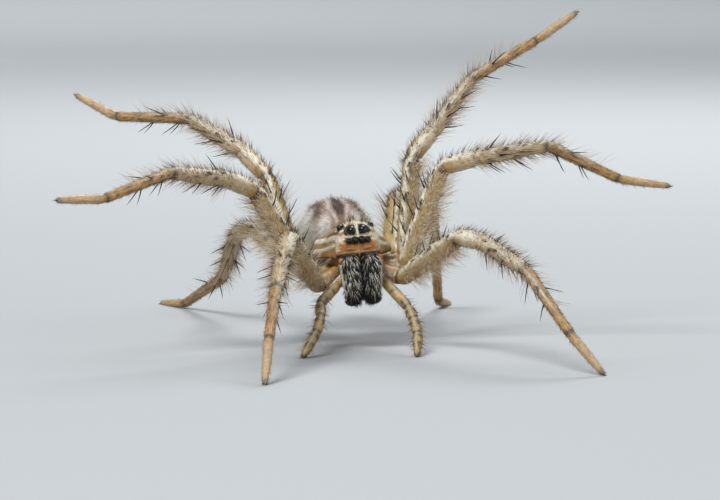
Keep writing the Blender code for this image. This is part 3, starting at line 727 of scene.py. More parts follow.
def palp_marks(place, angle):
    """Dark rings at the joints of a palp, pairs of spots between them, creases at its base."""
    dark = ringed(place, PALP_RINGS) + ringed(place, PALP_SPOTS) * near(np.abs(angle - 0.4), 0.75, 0.38)
    dark = dark + 0.55 * near(np.abs(angle - 0.5), 1.25, 0.16) * ramp(place, 1.6, 2.2)
    base = fade(place, 0.92, 1.0)
    crease = weave(place, angle, CREASE_WAVES, 0.3, 0.8) * base
    flecks = weave(place, angle, PALP_FLECK_WAVES, 0.3, 0.9) * ramp(place, 1.2, 2.0)
    patches = weave(place, angle, PATCH_WAVES, 0.0, 0.5) * base
    dark = np.maximum.reduce([1.2 * dark, 0.40 * crease, 0.6 * flecks])
    pale = (0.08 + 0.22 * near(angle, 0.4, 0.4)) * ramp(place, 1.0, 1.3) + 0.35 * patches
    return {"dark": np.clip(dark, 0, 1), "pale": pale, "warm": np.interp(place, *PALP_WARMTH)}


def ring_grid(rows, roof, columns, grow, keel=None):
    """Rings along y from a table of half width, low and high: superellipses, or an arch on a keel.

    The power of the ellipse or arch is under 1 for a box and over 1 for a roof.
    """
    turn = turns(columns)
    side, upward = np.sin(turn)[None, :], np.cos(turn)[None, :]
    y, half, low, high = [column[:, None] for column in rows.T[:4]]
    if keel is None:
        x = (half + grow) * power(side, roof)
        z = 0.5 * (low + high) + (0.5 * (high - low) + grow) * power(upward, roof)
    else:
        x = (half + grow) * power(side, np.where(upward >= 0.0, roof, KEEL_SQUARE[0]))
        arch = low + (high - low + grow) * power(np.maximum(upward, 0.0), roof)
        z = np.where(upward >= 0.0, arch, low + (keel + grow) * power(upward, KEEL_SQUARE[1]))
    return grid_points(x, y, z)


def domed(points, depth):
    """A grid whose first ring is closed by a dome: its rings shrink as the root of a sine."""
    turn = np.linspace(0.06, 1.0, DOME_RINGS, endpoint=False)[:, None, None] * 0.5 * math.pi
    first = points[:1]
    middle = first.mean(axis=1, keepdims=True)
    cap = middle + (first - middle) * np.sin(turn) ** 0.5
    cap[..., 1] -= depth * np.cos(turn)[..., 0]
    return np.concatenate([cap, points])


def eye_distance(x, y, z, place):
    """Distance from the middle of the eye at the place, or of the same one on the other side."""
    return np.sqrt((np.abs(x) - place[0]) ** 2 + (y - place[1]) ** 2 + (z - place[2]) ** 2)


def carapace_surface():
    """Head and thorax shield: the solids' arch and keel on a finer grid, with a domed face.

    Rays and a pit are pressed into its top, and bell-shaped rims are raised round the eyes.
    """
    rings, columns = SHIELD_GRID
    rows = smooth_rows(CARAPACE, rings)
    rows[:, 0] += 0.05 * fade(rows[:, 0], 0.0, 0.4)
    points = domed(ring_grid(rows, rows[:, 4:], columns, -COAT_DEPTH, KEEL_DEPTH), 0.05)
    x, y, z = np.moveaxis(points, -1, 0)
    groove = 0.10 * near(x, 0.0, 0.16) * near(y, FOVEA_Y, 0.35)
    spoke = 0.035 * np.cos(RAY_WAVES * np.arctan2(np.abs(x), FOVEA_Y - y)) ** 2
    outer = ramp(np.hypot(x, y - FOVEA_Y), 0.35, 0.8) * ramp(z, 0.5, 0.9) * ramp(y, 1.2, 1.8)
    points[..., 2] -= (groove + spoke * outer) * (z > 0.4)
    rim = sum(near(eye_distance(x, y, z, place), 0.60 * width, 0.14 * width) for _, place, width in EYES)
    points += EYE_RIM * np.clip(rim, 0, 1)[..., None] * unit(points - np.array(HEAD_MIDDLE))
    return surface(lean(points), shield_marks(x, y, z), SHIELD_SKIN)


def shield_marks(x, y, z):
    """Markings of the head and thorax by place: eye patches, white lines and bands, dark rays.

    Black patches stand round the eyes and on the temples, with white lines between them. Two bands,
    torn at their inner ends, run along each flank, and dark rays run from the pit. The face is
    orange, flecked at its corners, with pale hairs at the lip and the cheeks.
    """
    out = np.abs(x)
    patch = np.zeros_like(x)
    for name, place, width in EYES:
        large = name == "rear_median"
        reach = 0.80 if large else 0.74
        socket = fade(eye_distance(x, y, z, place), reach * width, (reach + 0.15) * width)
        patch = np.maximum(patch, socket * (ramp(z, 1.30, 1.35) if large else 1.0))
    along = np.clip((y - 0.50) / 0.30, 0.0, 1.0)
    temple = np.sqrt((out - 0.66 - 0.06 * along) ** 2 + (y - 0.50 - 0.30 * along) ** 2 + (z - 1.68) ** 2)
    patch = np.maximum(patch, fade(temple, 0.15, 0.20))
    front = fade(y, 0.10, 0.30)
    face = fade(y, 0.05, 0.5) * fade(z, 0.98, 1.10)
    upper_z, lower_z = np.interp(y, *UPPER_BAND), np.interp(y, *LOWER_BAND)

    # White lines across the face, back along the middle, over the large eyes and round the temples
    line = near(z, 1.292 + 0.04 * out, 0.036) * fade(out, 0.62, 0.75) * fade(y, 0.3, 0.7)
    middle = near(out, 0.0, 0.022) * ramp(z, 1.30, 1.36) * fade(y, 3.0, 3.6)
    brow = near(np.hypot(out - 0.26, 1.2 * (y - 0.36)), 0.27, 0.035) * ramp(z, 1.66, 1.76)
    fringe = near(temple, 0.235, 0.04) * ramp(z, 1.42, 1.55)

    # Bands of the flanks, and pale hairs of the cheek and the lip
    torn = out + 0.05 * np.sin(31.0 * z + 7.0 * x) + 0.03 * np.sin(63.0 * z - 11.0 * x)
    upper = near(z, upper_z, 0.095 + 0.04 * fade(y, 0.3, 0.9))
    lower = 0.9 * near(z, lower_z, 0.075) * (0.35 + 0.65 * ramp(y, 0.3, 0.7))
    band = np.maximum(upper, lower) * ramp(torn, 0.60, 0.74)
    frayed = out - 0.10 * (z - 0.8) + 0.06 * np.sin(43.0 * z + 5.0 * x) + 0.04 * np.sin(91.0 * z - 17.0 * x)
    cheek = ramp(frayed, 0.78, 0.94) * fade(y, 0.3, 0.6) * ramp(z, 0.55, 0.70)
    lip = near(z, 0.595, 0.024) + near(z, 0.60 + 1.6 * out, 0.035) * fade(out, 0.08, 0.14)
    lip = lip + 0.7 * near(z, 0.76 + 0.12 * (out - 0.36), 0.020) * near(out, 0.38, 0.15)
    curl = near(z, 0.88 - 0.5 * (out - 0.2) ** 2, 0.026) * near(out, 0.20, 0.09)

    # Dark row of the front eyes, creases of the face, painted shadow over the jaws, edge and rays of the
    # shield
    row = near(z, 1.14, 0.13) * fade(out, 0.50, 0.60) * front
    under = near(out, 0.22, 0.09) * near(z, 0.95, 0.05) + 0.6 * near(out, 0.52, 0.09) * near(z, 0.88, 0.06)
    shade = near(z, 0.68 + 0.10 * (out - 0.35), 0.05) * near(out, 0.38, 0.24) * ramp(out, 0.10, 0.22)
    # Painted shadow: a dark band at the foot of the face stands for the shade in the gap above the jaws
    painted_jaw_gap_shadow = fade(z, 0.515, 0.555) * fade(y, 0.3, 0.6) * ramp(out, 0.03, 0.05)
    edge = near(z, upper_z + 0.19, 0.060) * ramp(out, 0.5, 0.7) * between(y, 0.55, 0.7, 2.0, 2.4)
    spoke = np.cos(RAY_WAVES * np.arctan2(out, FOVEA_Y - y)) ** 4 * ramp(y, 1.2, 2.0)
    spoke = spoke * ramp(np.hypot(out, y - FOVEA_Y), 0.2, 0.6)
    flank = near(out, 0.42, 0.28) * ramp(y, 0.8, 1.6) * ramp(z, 0.8, 1.2)
    rim = near(z, 0.31, 0.05) * ramp(out, 0.8, 1.0) * ramp(y, 0.6, 1.0)
    fleck = near(out, 0.88, 0.06) * (0.5 + 0.5 * np.sin(46.0 * z + 9.0 * x)) * face
    mottle = ramp(np.sin(29.0 * x + 3.0 * np.sin(9.0 * z)) * np.sin(33.0 * z + 2.0 * x), 0.1, 0.9) * face
    dark = np.maximum.reduce([patch, row, 0.7 * under * front, 0.75 * shade * front, edge, painted_jaw_gap_shadow,
                              0.75 * spoke, 0.35 * flank, rim, 0.7 * fleck, 0.45 * mottle])

    line = line * (1.0 - patch)
    dark = dark * (1.0 - np.maximum(line, middle))
    light = 1.0 - dark
    pale = np.maximum.reduce([band * light, 0.65 * brow * light, 0.85 * fringe * light, 0.6 * cheek * light,
                              0.22 * lip * face, 0.15 * curl * face, line,
                              middle * (1.0 - 0.4 * ramp(y, 1.0, 2.0))])
    warm = np.maximum(face * (1.0 - np.clip(1.2 * (lip + curl), 0, 1)),
                      0.35 * fade(z, lower_z - 0.05, lower_z + 0.10))
    return {"dark": dark, "pale": np.clip(pale, 0, 1), "warm": warm}


def abdomen_surface():
    """Abdomen: an egg of superellipses, closed by a dome in front and, seen backwards, behind."""
    rings, columns = ABDOMEN_GRID
    backwards = np.array([1.0, -1.0, 1.0])
    points = ring_grid(smooth_rows(ABDOMEN, rings), ABDOMEN_ROUND, columns, -COAT_DEPTH - ABDOMEN_SLACK)
    points = domed(points, 0.10)
    points = domed(points[::-1] * backwards, 0.16)[::-1] * backwards
    return surface(lean(points), abdomen_marks(*np.moveaxis(points, -1, 0)), ABDOMEN_SKIN)


def abdomen_marks(x, y, z):
    """Abdomen: a dark heart mark, dark chevrons with pale spots, pale flanks and belly."""
    out = np.abs(x)
    top = ramp(z, 0.9, 1.7)
    wide = np.interp(y, *HEART_WIDTH)
    heart = fade(out, 0.7 * wide, 1.1 * wide) * between(y, 5.3, 5.7, 7.9, 8.4)
    rim = near(out, 1.5 * wide, 0.09) * fade(y, 7.9, 8.5)
    wave = 0.5 + 0.5 * np.cos(2.0 * math.pi * (y - 0.7 * out - 8.1) / 0.72)
    chevron = wave**3 * ramp(y, 7.6, 8.3) * fade(out, 0.7, 1.1)
    spot = sum(near(y, at, 0.13) * near(out, 0.34 + 0.02 * k, 0.10) for k, at in enumerate(SPOT_PLACES))
    lobe = near(out, 0.85 + 0.12 * np.sin(4.2 * y), 0.18) * ramp(y, 5.8, 6.6)
    ragged = out + 0.10 * np.sin(5.3 * y + 2.0) + 0.05 * np.sin(14.0 * y - 3.0 * z)
    flank = ramp(ragged, 0.90, 1.50) * ramp(z, -0.9, 0.3)
    fleck = weave(y, z, ABDOMEN_FLECK_WAVES, 0.2, 0.9) * flank
    dark = np.maximum(np.maximum.reduce([0.95 * heart, 0.75 * chevron, 0.9 * lobe]) * top, 0.12 * fleck)
    front = fade(y, 5.6, 6.2) * ramp(out, 0.3, 0.7)
    pale = np.maximum.reduce([0.8 * spot * top, 0.6 * rim * top, flank, 0.9 * front,
                              0.7 * fade(z, -0.6, 0.1)])
    return {"dark": dark * (1.0 - 0.8 * np.clip(spot, 0, 1)), "pale": np.clip(pale, 0, 1),
            "warm": 0.5 * near(out, 0.5, 0.5) * top}


def plain_marks(dark=0.0, pale=0.0, warm=0.0):
    """The same marks all over a small part."""
    return {"dark": dark, "pale": pale, "warm": warm}


def ball_surface(centre, radii, marks, finish=LEG_SKIN):
    """Ellipsoid: circles of radius sine at height cosine, from its front pole to its back pole."""
    rings, columns = BALL_GRID
    tilt = np.linspace(0.04, 0.96, rings)[:, None] * math.pi
    turn = turns(columns)[None, :]
    ball = grid_points(np.sin(tilt) * np.cos(turn), -np.cos(tilt), np.sin(tilt) * np.sin(turn))
    return surface(lean(np.array(centre) + np.array(radii) * ball), marks, finish)


def sternum_surface():
    """Plate and block under the shield: rounded rings whose half width is a superellipse of y."""
    rings, columns = STERNUM_GRID
    turn = turns(columns)[None, :]
    t = np.linspace(-0.985, 0.985, rings)[:, None]
    width, length, deep = STERNUM_SIZE
    half = (0.5 * width - COAT_DEPTH) * (1.0 - np.abs(t) ** STERNUM_ROUND) ** (1 / STERNUM_ROUND)
    depth = (deep - COAT_DEPTH) * (1.0 - 0.55 * t**4)
    x = half * power(np.sin(turn), STERNUM_SQUARE)
    z = np.where(np.cos(turn) < 0.0, depth, STERNUM_RISE) * power(np.cos(turn), STERNUM_SQUARE)
    marks = plain_marks(0.7 * near(np.abs(x), 0.0, 0.12) * (z < 0), 0.0, 0.55)
    return surface(lean(grid_points(x, STERNUM_MIDDLE + t * 0.5 * length, z)), marks, SHIELD_SKIN)


def cone_surface(foot, tip, wide, narrow, marks, finish):
    """Straight tapered part: circles from its foot to its tip, where they close as a quarter circle."""
    rings, columns = CONE_GRID
    share = np.linspace(0.0, 1.0, rings)[:, None]
    axis = np.array(tip) - np.array(foot)
    level, upward = across_of(unit(axis))
    turn = turns(columns)[:, None]
    around = np.cos(turn) * level + np.sin(turn) * upward
    close = np.sqrt(np.maximum(1.0 - np.clip((share - 0.88) / 0.12, 0, 1) ** 2, 0.01))
    radius = 0.5 * (wide + (narrow - wide) * share**1.3) * close
    points = np.array(foot) + share[:, :, None] * axis + radius[:, :, None] * around
    return surface(lean(points), marks, finish)


def chelicera_surface(side):
    """One jaw: upright superellipse rings from its table, closed by a dome at the foot.

    The coat lies down along the rings. On the right jaw it also leans over the gap between the jaws,
    more so the closer it is, and on the left one it leans a little outward, as in the photograph.
    """
    rings, columns = JAW_GRID
    turn = turns(columns)[None, :]
    z, x, y, half, deep = [column[:, None] for column in smooth_rows(CHELICERA, rings).T]
    points = grid_points(x + (half - COAT_DEPTH) * power(np.cos(turn), JAW_SQUARE),
                         y + (deep - COAT_DEPTH) * power(np.sin(turn), JAW_SQUARE), z)
    last = points[-1:]
    middle = last.mean(axis=1, keepdims=True)
    t = np.linspace(0.15, 0.97, 6)[:, None, None] * 0.5 * math.pi
    cap = middle + (last - middle) * np.cos(t)
    cap[..., 2] -= JAW_FOOT * np.sin(t)[..., 0]
    points = np.concatenate([points, cap])
    height, across, ahead = points[..., 2], np.cos(turn), -np.sin(turn)
    outer = ramp(across, 0.80, 0.93) * between(height, -1.45, -1.25, 0.02, 0.14) * ramp(ahead, -0.35, -0.10)
    brown = np.maximum(0.3 * fade(height, -1.62, -1.40), fade(ahead, -0.45, -0.20))
    made = surface(lean(mirrored(points, side)), plain_marks(0.0, outer, brown))
    combed = 0.16
    if side == "right":
        x = made["points"][..., :1]
        beside = np.abs(x - lean(mirrored((0.5, 0.0, 0.0), side))[0])
        combed = 0.12 + 0.55 * ramp(x, -0.65, -0.10) * ramp(beside, 0.0, 0.2)
    made["lie"] = unit(made["lie"] + combed * np.array([1.0, 0.0, 0.0]))
    return made


def fang_surface(side):
    """A folded fang: circles about an elliptical arc under the jaw, thinner to the tip."""
    rings, columns = FANG_GRID
    arc = np.radians(np.linspace(*FANG_ARC, rings))[:, None]
    share = np.linspace(0.0, 1.0, rings)[:, None]
    outward = np.concatenate([np.cos(arc), 0.0 * arc, -np.sin(arc)], axis=1)[:, None]
    middle = np.array(FANG_HINGE) + outward * np.array([FANG_REACH[0], 1.0, FANG_REACH[1]])
    wide, narrow = FANG_THICKNESS
    radius = 0.5 * (wide + (narrow - wide) * share**0.9)[:, None]
    turn = turns(columns)[None, :, None]
    points = middle + radius * (np.cos(turn) * outward + np.sin(turn) * np.array([0.0, 1.0, 0.0]))
    return surface(lean(mirrored(points, side)), plain_marks())


def bristles(name, roots, directions, lengths, width, bows, finish):
    """Five-sided spines or claws: four rings about a line that bends by the bow, and a tip."""
    roots, directions, bows = np.array(roots), unit(np.array(directions)), np.array(bows)
    lengths = np.reshape(lengths, (-1, 1))
    across = unit(np.cross(directions, (0.31, 0.52, 0.80)))
    other = np.cross(directions, across)
    rings = []
    for share, narrow in SPINE_RINGS:
        middle = roots + lengths * (share * directions + share * abs(share) * bows)
        for turn in turns(SPINE_SIDES):
            rings.append(middle + 0.5 * narrow * width * (math.cos(turn) * across + math.sin(turn) * other))
    rings.append(roots + lengths * (directions + bows))
    points = np.stack(rings, axis=1)
    points[..., 2] = np.maximum(points[..., 2], FLOOR + HAIR_CLEARANCE)
    count, size = points.shape[:2]
    base = size * np.arange(count)[:, None]
    k = np.arange(SPINE_SIDES)
    after = (k + 1) % SPINE_SIDES
    upper = SPINE_SIDES * (len(SPINE_RINGS) - 1)
    quads = [base + np.array([SPINE_SIDES * r + corners])
             for r in range(len(SPINE_RINGS) - 1)
             for corners in np.stack([k, after, SPINE_SIDES + after, SPINE_SIDES + k], axis=1)]
    fans = [base + np.array([[upper + a, upper + b, size - 1]]) for a, b in zip(k, after)]
    fans += [base + np.array([[0, a + 1, a]]) for a in range(1, SPINE_SIDES - 1)]
    faces = [np.concatenate(quads), np.concatenate(fans)]
    return mesh_object(name, points.reshape(-1, 3), faces, {}, [finish])


def spine_spots(start, end, thickness, spots, draw):
    """Roots, directions and lengths of the spines on one length, by the same draws as the solids."""
    axis = end - start
    along = unit(axis)
    level, upward = across_of(along)
    found = []
    for fraction, degrees in spots:
        degrees += draw.uniform(-SPINE_TURN_SPREAD, SPINE_TURN_SPREAD)
        fraction += draw.uniform(-SPINE_PLACE_SPREAD, SPINE_PLACE_SPREAD)
        length = SPINE_LENGTH * draw.uniform(*SPINE_LENGTH_SPREAD)
        turn = math.radians(degrees)
        outward = math.cos(turn) * upward + math.sin(turn) * level
        radius = 0.5 * np.interp(fraction, np.linspace(0.0, 1.0, len(thickness)), thickness)
        direction = math.cos(SPINE_SLANT) * along + math.sin(SPINE_SLANT) * outward
        root = start + axis * fraction + outward * (radius - COAT_DEPTH)
        if (root + direction * length)[2] > FLOOR + SPINE_ROOT:
            found.append((root, direction, length, along))
    return found


def linear(hex_colour):
    """Linear colour from an sRGB hex value."""
    channels = [int(hex_colour[k:k + 2], 16) / 255.0 for k in (1, 3, 5)]
    return [c / 12.92 if c <= 0.04045 else ((c + 0.055) / 1.055) ** 2.4 for c in channels] + [1.0]


def node(tree, kind, settings=None, inputs=None):
    """Add a node, set its properties, and give its sockets values or links; returns its outputs."""
    made = tree.nodes.new("ShaderNode" + kind)
    for key, value in (settings or {}).items():
        setattr(made, key, value)
    for key, value in (inputs or {}).items():
        if isinstance(value, bpy.types.NodeSocket):
            tree.links.new(value, made.inputs[key])
        else:
            made.inputs[key].default_value = value
    return made.outputs


def blank(name):
    """New material with no nodes but its output."""
    finish = bpy.data.materials.new(name)
    finish.use_nodes = True
    finish.node_tree.nodes.clear()
    return finish, finish.node_tree


def shaded(finish, tree, inputs):
    """The material, closed by a principled shader that takes the inputs."""
    shader = node(tree, "BsdfPrincipled", None, inputs)[0]
    node(tree, "OutputMaterial", None, {"Surface": shader})
    return finish


def noise(tree, place, size, detail, roughness=0.5):
    """Cloudy texture in the metres of the object, with features of the size given in millimetres."""
    return node(tree, "TexNoise", None, {"Vector": place, "Scale": 1.0 / (size * MM), "Detail": detail,
                                         "Roughness": roughness})["Fac"]


def carried(tree, marks):
    """Marks that the mesh carries at its points, by name."""
    return {mark: node(tree, "Attribute", {"attribute_name": mark})["Fac"] for mark in marks}


def layered(tree, base, layers):
    """Colour that starts as the base and takes each layer's colour by its share, in order."""
    colour = base
    for share, over in layers:
        colour = node(tree, "Mix", {"data_type": "RGBA"}, {0: share, 6: colour, 7: over})[2]
    return colour


def cuticle(name, colours, roughness, grain, grain_depth, coat=0.0):
    """Waxed chitin: a base mottled at two sizes, marks by the skin's own attributes, fine bump.

    The colours are the base, the rust, the dark and the pale. Blotches are 0.55 mm wide, like rubbed
    patches, and flecks 0.09 mm, like small tufts. The grain of the bump, in millimetres, is drawn
    coarser than the ridges of real cuticle, so that it shows.
    """
    base, warm, dark, pale = [linear(colour) for colour in colours]
    finish, tree = blank(name)
    place = node(tree, "TexCoord")["Object"]
    blotch = noise(tree, place, 0.55, 4.0, 0.6)
    fleck = noise(tree, place, 0.09, 3.0)
    ragged = node(tree, "Math", {"operation": "MULTIPLY_ADD"}, {0: fleck, 1: 1.3, 2: 0.35})[0]
    marks = carried(tree, ("dark", "pale", "warm"))
    dim = node(tree, "MapRange", None, {"Value": blotch, "From Min": 0.42, "From Max": 0.66,
                                        "To Min": 0.0, "To Max": 0.30})[0]
    light = node(tree, "MapRange", None, {"Value": fleck, "From Min": 0.55, "From Max": 0.72,
                                          "To Min": 0.0, "To Max": 0.28})[0]
    deep, bright = [node(tree, "Math", {"operation": "MULTIPLY", "use_clamp": True},
                         {0: marks[mark], 1: ragged})[0] for mark in ("dark", "pale")]
    colour = layered(tree, base, [(marks["warm"], warm), (dim, dark), (light, pale), (deep, dark),
                                    (bright, pale)])
    rough = noise(tree, place, grain, 2.0)
    normal = node(tree, "Bump", None, {"Strength": 0.7, "Distance": grain_depth * MM, "Height": rough})[0]
    return shaded(finish, tree, {"Base Color": colour, "Roughness": roughness, "Coat Weight": coat,
                                 "Coat Roughness": 0.25, "Specular IOR Level": 0.35, "Normal": normal})


def seta(name, colours, roughness):
    """Hair of chitin: each hair takes its root's marks, its own tone and a lighter tip.

    The colours are the base, the rust, the dark and the pale.
    """
    base, warm, dark, pale = [linear(colour) for colour in colours]
    finish, tree = blank(name)
    marks = carried(tree, ("dark", "pale", "warm", "tone", "reach"))
    tone, tip, deep = [node(tree, "Math", {"operation": "MULTIPLY"}, {0: marks[mark], 1: share})[0]
                       for mark, share in (("tone", 0.36), ("reach", 0.24), ("dark", 0.95))]
    colour = layered(tree, base, [(marks["warm"], warm), (tone, dark), (marks["pale"], pale),
                                    (tip, pale), (deep, dark)])
    return shaded(finish, tree, {"Base Color": colour, "Roughness": roughness, "Specular IOR Level": 0.25})


def horn(name, base, glow, roughness, coat, grain):
    """Thick glossy chitin, smooth to the eye, with a faint deeper colour in patches."""
    finish, tree = blank(name)
    place = node(tree, "TexCoord")["Object"]
    cloud = noise(tree, place, grain, 3.0)
    colour = layered(tree, linear(base), [(cloud, linear(glow))])
    normal = node(tree, "Bump", None, {"Strength": 0.2, "Distance": 0.004 * MM, "Height": cloud})[0]
    return shaded(finish, tree, {"Base Color": colour, "Roughness": roughness, "Coat Weight": coat,
                                 "Coat Roughness": 0.06, "Normal": normal})


def finish_piece(made, slot, *nodes):
    """Make a piece ride on the body, and hide the solids that it stands for."""
    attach(made, "root")
    if nodes:
        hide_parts(*nodes)


def make_camera():
    """Camera on the photograph's line of sight, with the lens that gives its scale."""
    a, e = CAMERA_AZIMUTH, CAMERA_RISE
    back = np.array([math.sin(a) * math.cos(e), -math.cos(a) * math.cos(e), math.sin(e)])
    right = np.array([math.cos(a), math.sin(a), 0.0])
    upward = np.cross(back, right)
    across = (AIM_PIXEL[0] - 0.5 * PICTURE[0]) / PIXELS_PER_MM
    down = (AIM_PIXEL[1] - 0.5 * PICTURE[1]) / PIXELS_PER_MM
    place = np.array(CAMERA_AIM) + CAMERA_DISTANCE * back - across * right + down * upward
    data = bpy.data.cameras.new("camera")
    data.sensor_width = SENSOR_WIDTH
    data.lens = SENSOR_WIDTH * CAMERA_DISTANCE * PIXELS_PER_MM / PICTURE[0]
    data.clip_start = 0.001
    data.clip_end = 10.0
    made = linked("camera", data)
    turned = Matrix([list(row) for row in np.stack([right, upward, back], axis=1)]).to_4x4()
    made.matrix_world = Matrix.Translation(placed(place).tolist()) @ turned
    bpy.context.scene.camera = made


def make_stage():
    """Pale paper sweep: a floor that rises behind the spider in a quarter circle."""
    half, front, back_y, radius, height = SWEEP
    turn = np.linspace(0.0, 0.5 * math.pi, 24)
    profile = [(front, 0.0)]
    profile += [(back_y + radius * math.sin(a), radius * (1.0 - math.cos(a))) for a in turn]
    profile.append((back_y + radius, height))
    points = [(x, y, z) for y, z in profile for x in (-half, half)]
    faces = 2 * np.arange(len(profile) - 1)[:, None] + np.array([[0, 1, 3, 2]])
    mesh = bpy.data.meshes.new("sweep")
    mesh.from_pydata(points, [], faces.tolist())
    mesh.shade_smooth()
    finish, tree = blank("sweep_paper")
    mesh.materials.append(shaded(finish, tree, {"Base Color": linear("#B2B6B9"), "Roughness": 0.9}))
    made = linked("sweep", mesh)


def make_lights():
    """Large soft key from above and the picture's left, weak fill, rim, and a wash on the far floor."""
    for name, place, aim, size, energy, spread in LIGHTS:
        data = bpy.data.lights.new(name, "AREA")
        data.shape = "DISK"
        data.size = size
        data.energy = energy
        data.spread = math.radians(spread)
        made = linked(name, data)
        made.location = place
        made.rotation_euler = (Vector(aim) - Vector(place)).to_track_quat("-Z", "Y").to_euler()
    world = bpy.data.worlds.new("studio")
    world.use_nodes = True
    sky = world.node_tree.nodes["Background"].inputs
    sky["Color"].default_value = linear(SKY[0])
    sky["Strength"].default_value = SKY[1]
    bpy.context.scene.world = world
    bpy.context.scene.view_settings.view_transform = "Standard"


def leg_plan():
    """Joints and spines of each leg, drawn in the same order as in the solids."""
    draw = random.Random(SEEDS["spines"])
    plan = {}
    for side in SIDES:
        for number, (base, lengths) in enumerate(zip(LEG_BASE, LEG_LENGTHS), 1):
            joints = limb_joints(base, lengths, STANCE[side, number], side)
            spines = []
            for k, length, spots in ((0, 1, FEMUR_SPINES), (2, 3, TIBIA_SPINES), (3, 4, METATARSUS_SPINES)):
                spines += spine_spots(joints[k], joints[k + 1], LEG_THICKNESS[length], spots, draw)
            plan[side, number] = joints, spines
    return plan


def make_skin(plan, finishes):
    """The one skin of head, thorax, waist, abdomen, spinnerets, legs and palps."""
    body = {"shield": carapace_surface(), "abdomen": abdomen_surface(), "sternum": sternum_surface()}
    ends = [(0.0, y, PEDICEL_HEIGHT) for y in PEDICEL_Y]
    thickness = 2 * PEDICEL_RADIUS
    body["pedicel"] = cone_surface(*ends, thickness, thickness, plain_marks(0.2), SHIELD_SKIN)
    body["labium"] = ball_surface(*LABIUM, plain_marks(0.3, 0.0, 0.9), SHIELD_SKIN)
    for side in SIDES:
        centre, radii = MAXILLA
        body["maxilla_" + side] = ball_surface(mirrored(centre, side), radii, plain_marks(0.1, 0.1, 0.8),
                                               SHIELD_SKIN)
        for k, (foot, tip, wide, narrow) in enumerate(SPINNERETS):
            body["spinneret_%s_%d" % (side, k)] = cone_surface(
                mirrored(foot, side), mirrored(tip, side), wide, narrow,
                plain_marks(0.45 + 0.15 * k, 0.0, 0.1), ABDOMEN_SKIN)
    legs, palps = {}, {}
    for (side, number), (joints, spines) in plan.items():
        root = lean(mirrored(COXA_ROOT[number - 1], side))
        marker = functools.partial(leg_marks, line=LINE[number])
        legs[side, number] = limb_surface(side, [root] + joints, LEG_THICKNESS, marker, LEG_WAIST,
                                          LEG_GRID, spines)
    for side in SIDES:
        root = lean(mirrored(PALP_ROOT, side))
        joints = limb_joints(PALP_BASE, PALP_LENGTHS, PALP_STANCE[side], side)
        palps[side] = limb_surface(side, [root] + joints, PALP_THICKNESS, palp_marks, PALP_WAIST, PALP_GRID)
    everything = list(legs.values()) + list(palps.values()) + list(body.values())
    nodes = ["cephalothorax", "abdomen", "pedicel", "spinnerets"]
    nodes += ["leg_%s_%d_%s" % (side, number, part) for side, number in legs
              for part in ("femur", "tibia", "foot")]
    nodes += ["palp_%s_%s" % (side, part) for side in SIDES for part in ("femur", "tip")]
    finish_piece(skin_object("skin", everything, finishes), "leg", *nodes)
    return body, legs, palps


def make_head_parts(jaw_finish, boss_finish, fang_finish, lens_finish):
    """Jaws, folded fangs and eight lenses."""
    jaws = {}
    for side in SIDES:
        jaws[side] = chelicera_surface(side)
        centre, radii = BOSS
        boss = ball_surface(mirrored(centre, side), radii, plain_marks(0.22, 0.0, 1.0), SHIELD_SKIN)
        made = skin_object("jaw_" + side, [jaws[side], boss], [jaw_finish, boss_finish])
        finish_piece(made, "jaw", "chelicera_" + side)
        made = skin_object("fang_cone_" + side, [fang_surface(side)], [fang_finish])
        finish_piece(made, "claw", "fang_" + side)
        for name, place, width in EYES:
            lens = ball_surface(mirrored(place, side), (0.5 * width,) * 3, plain_marks())
            made = skin_object("lens_%s_%s" % (side, name), [lens], [lens_finish])
            finish_piece(made, "eye", "eye_%s_%s" % (side, name))
    return jaws


def make_spines(plan, finish):
    """The stout black spines of the legs, where the solids have them, and two claws on each foot."""
    spines, claws = [], []
    back, aside = CLAW_ROOT
    for joints, found in plan.values():
        spines += found
        toe, tip = joints[-2:]
        along = unit(tip - toe)
        level = across_of(along)[0]
        claws += [(tip - back * along + aside * s * level, along + CLAW_SPREAD * s * level)
                  for s in (-1.0, 1.0)]
    roots, directions, lengths, alongs = zip(*spines)
    made = bristles("spines", roots, directions, lengths, SPINE_WIDTH, SPINE_BEND * np.array(alongs), finish)
    finish_piece(made, "claw")
    roots, directions = zip(*claws)
    length, width = CLAW_SIZE
    made = bristles("claws", roots, directions, [length] * len(claws), width, CLAW_BEND, finish)
    finish_piece(made, "claw")


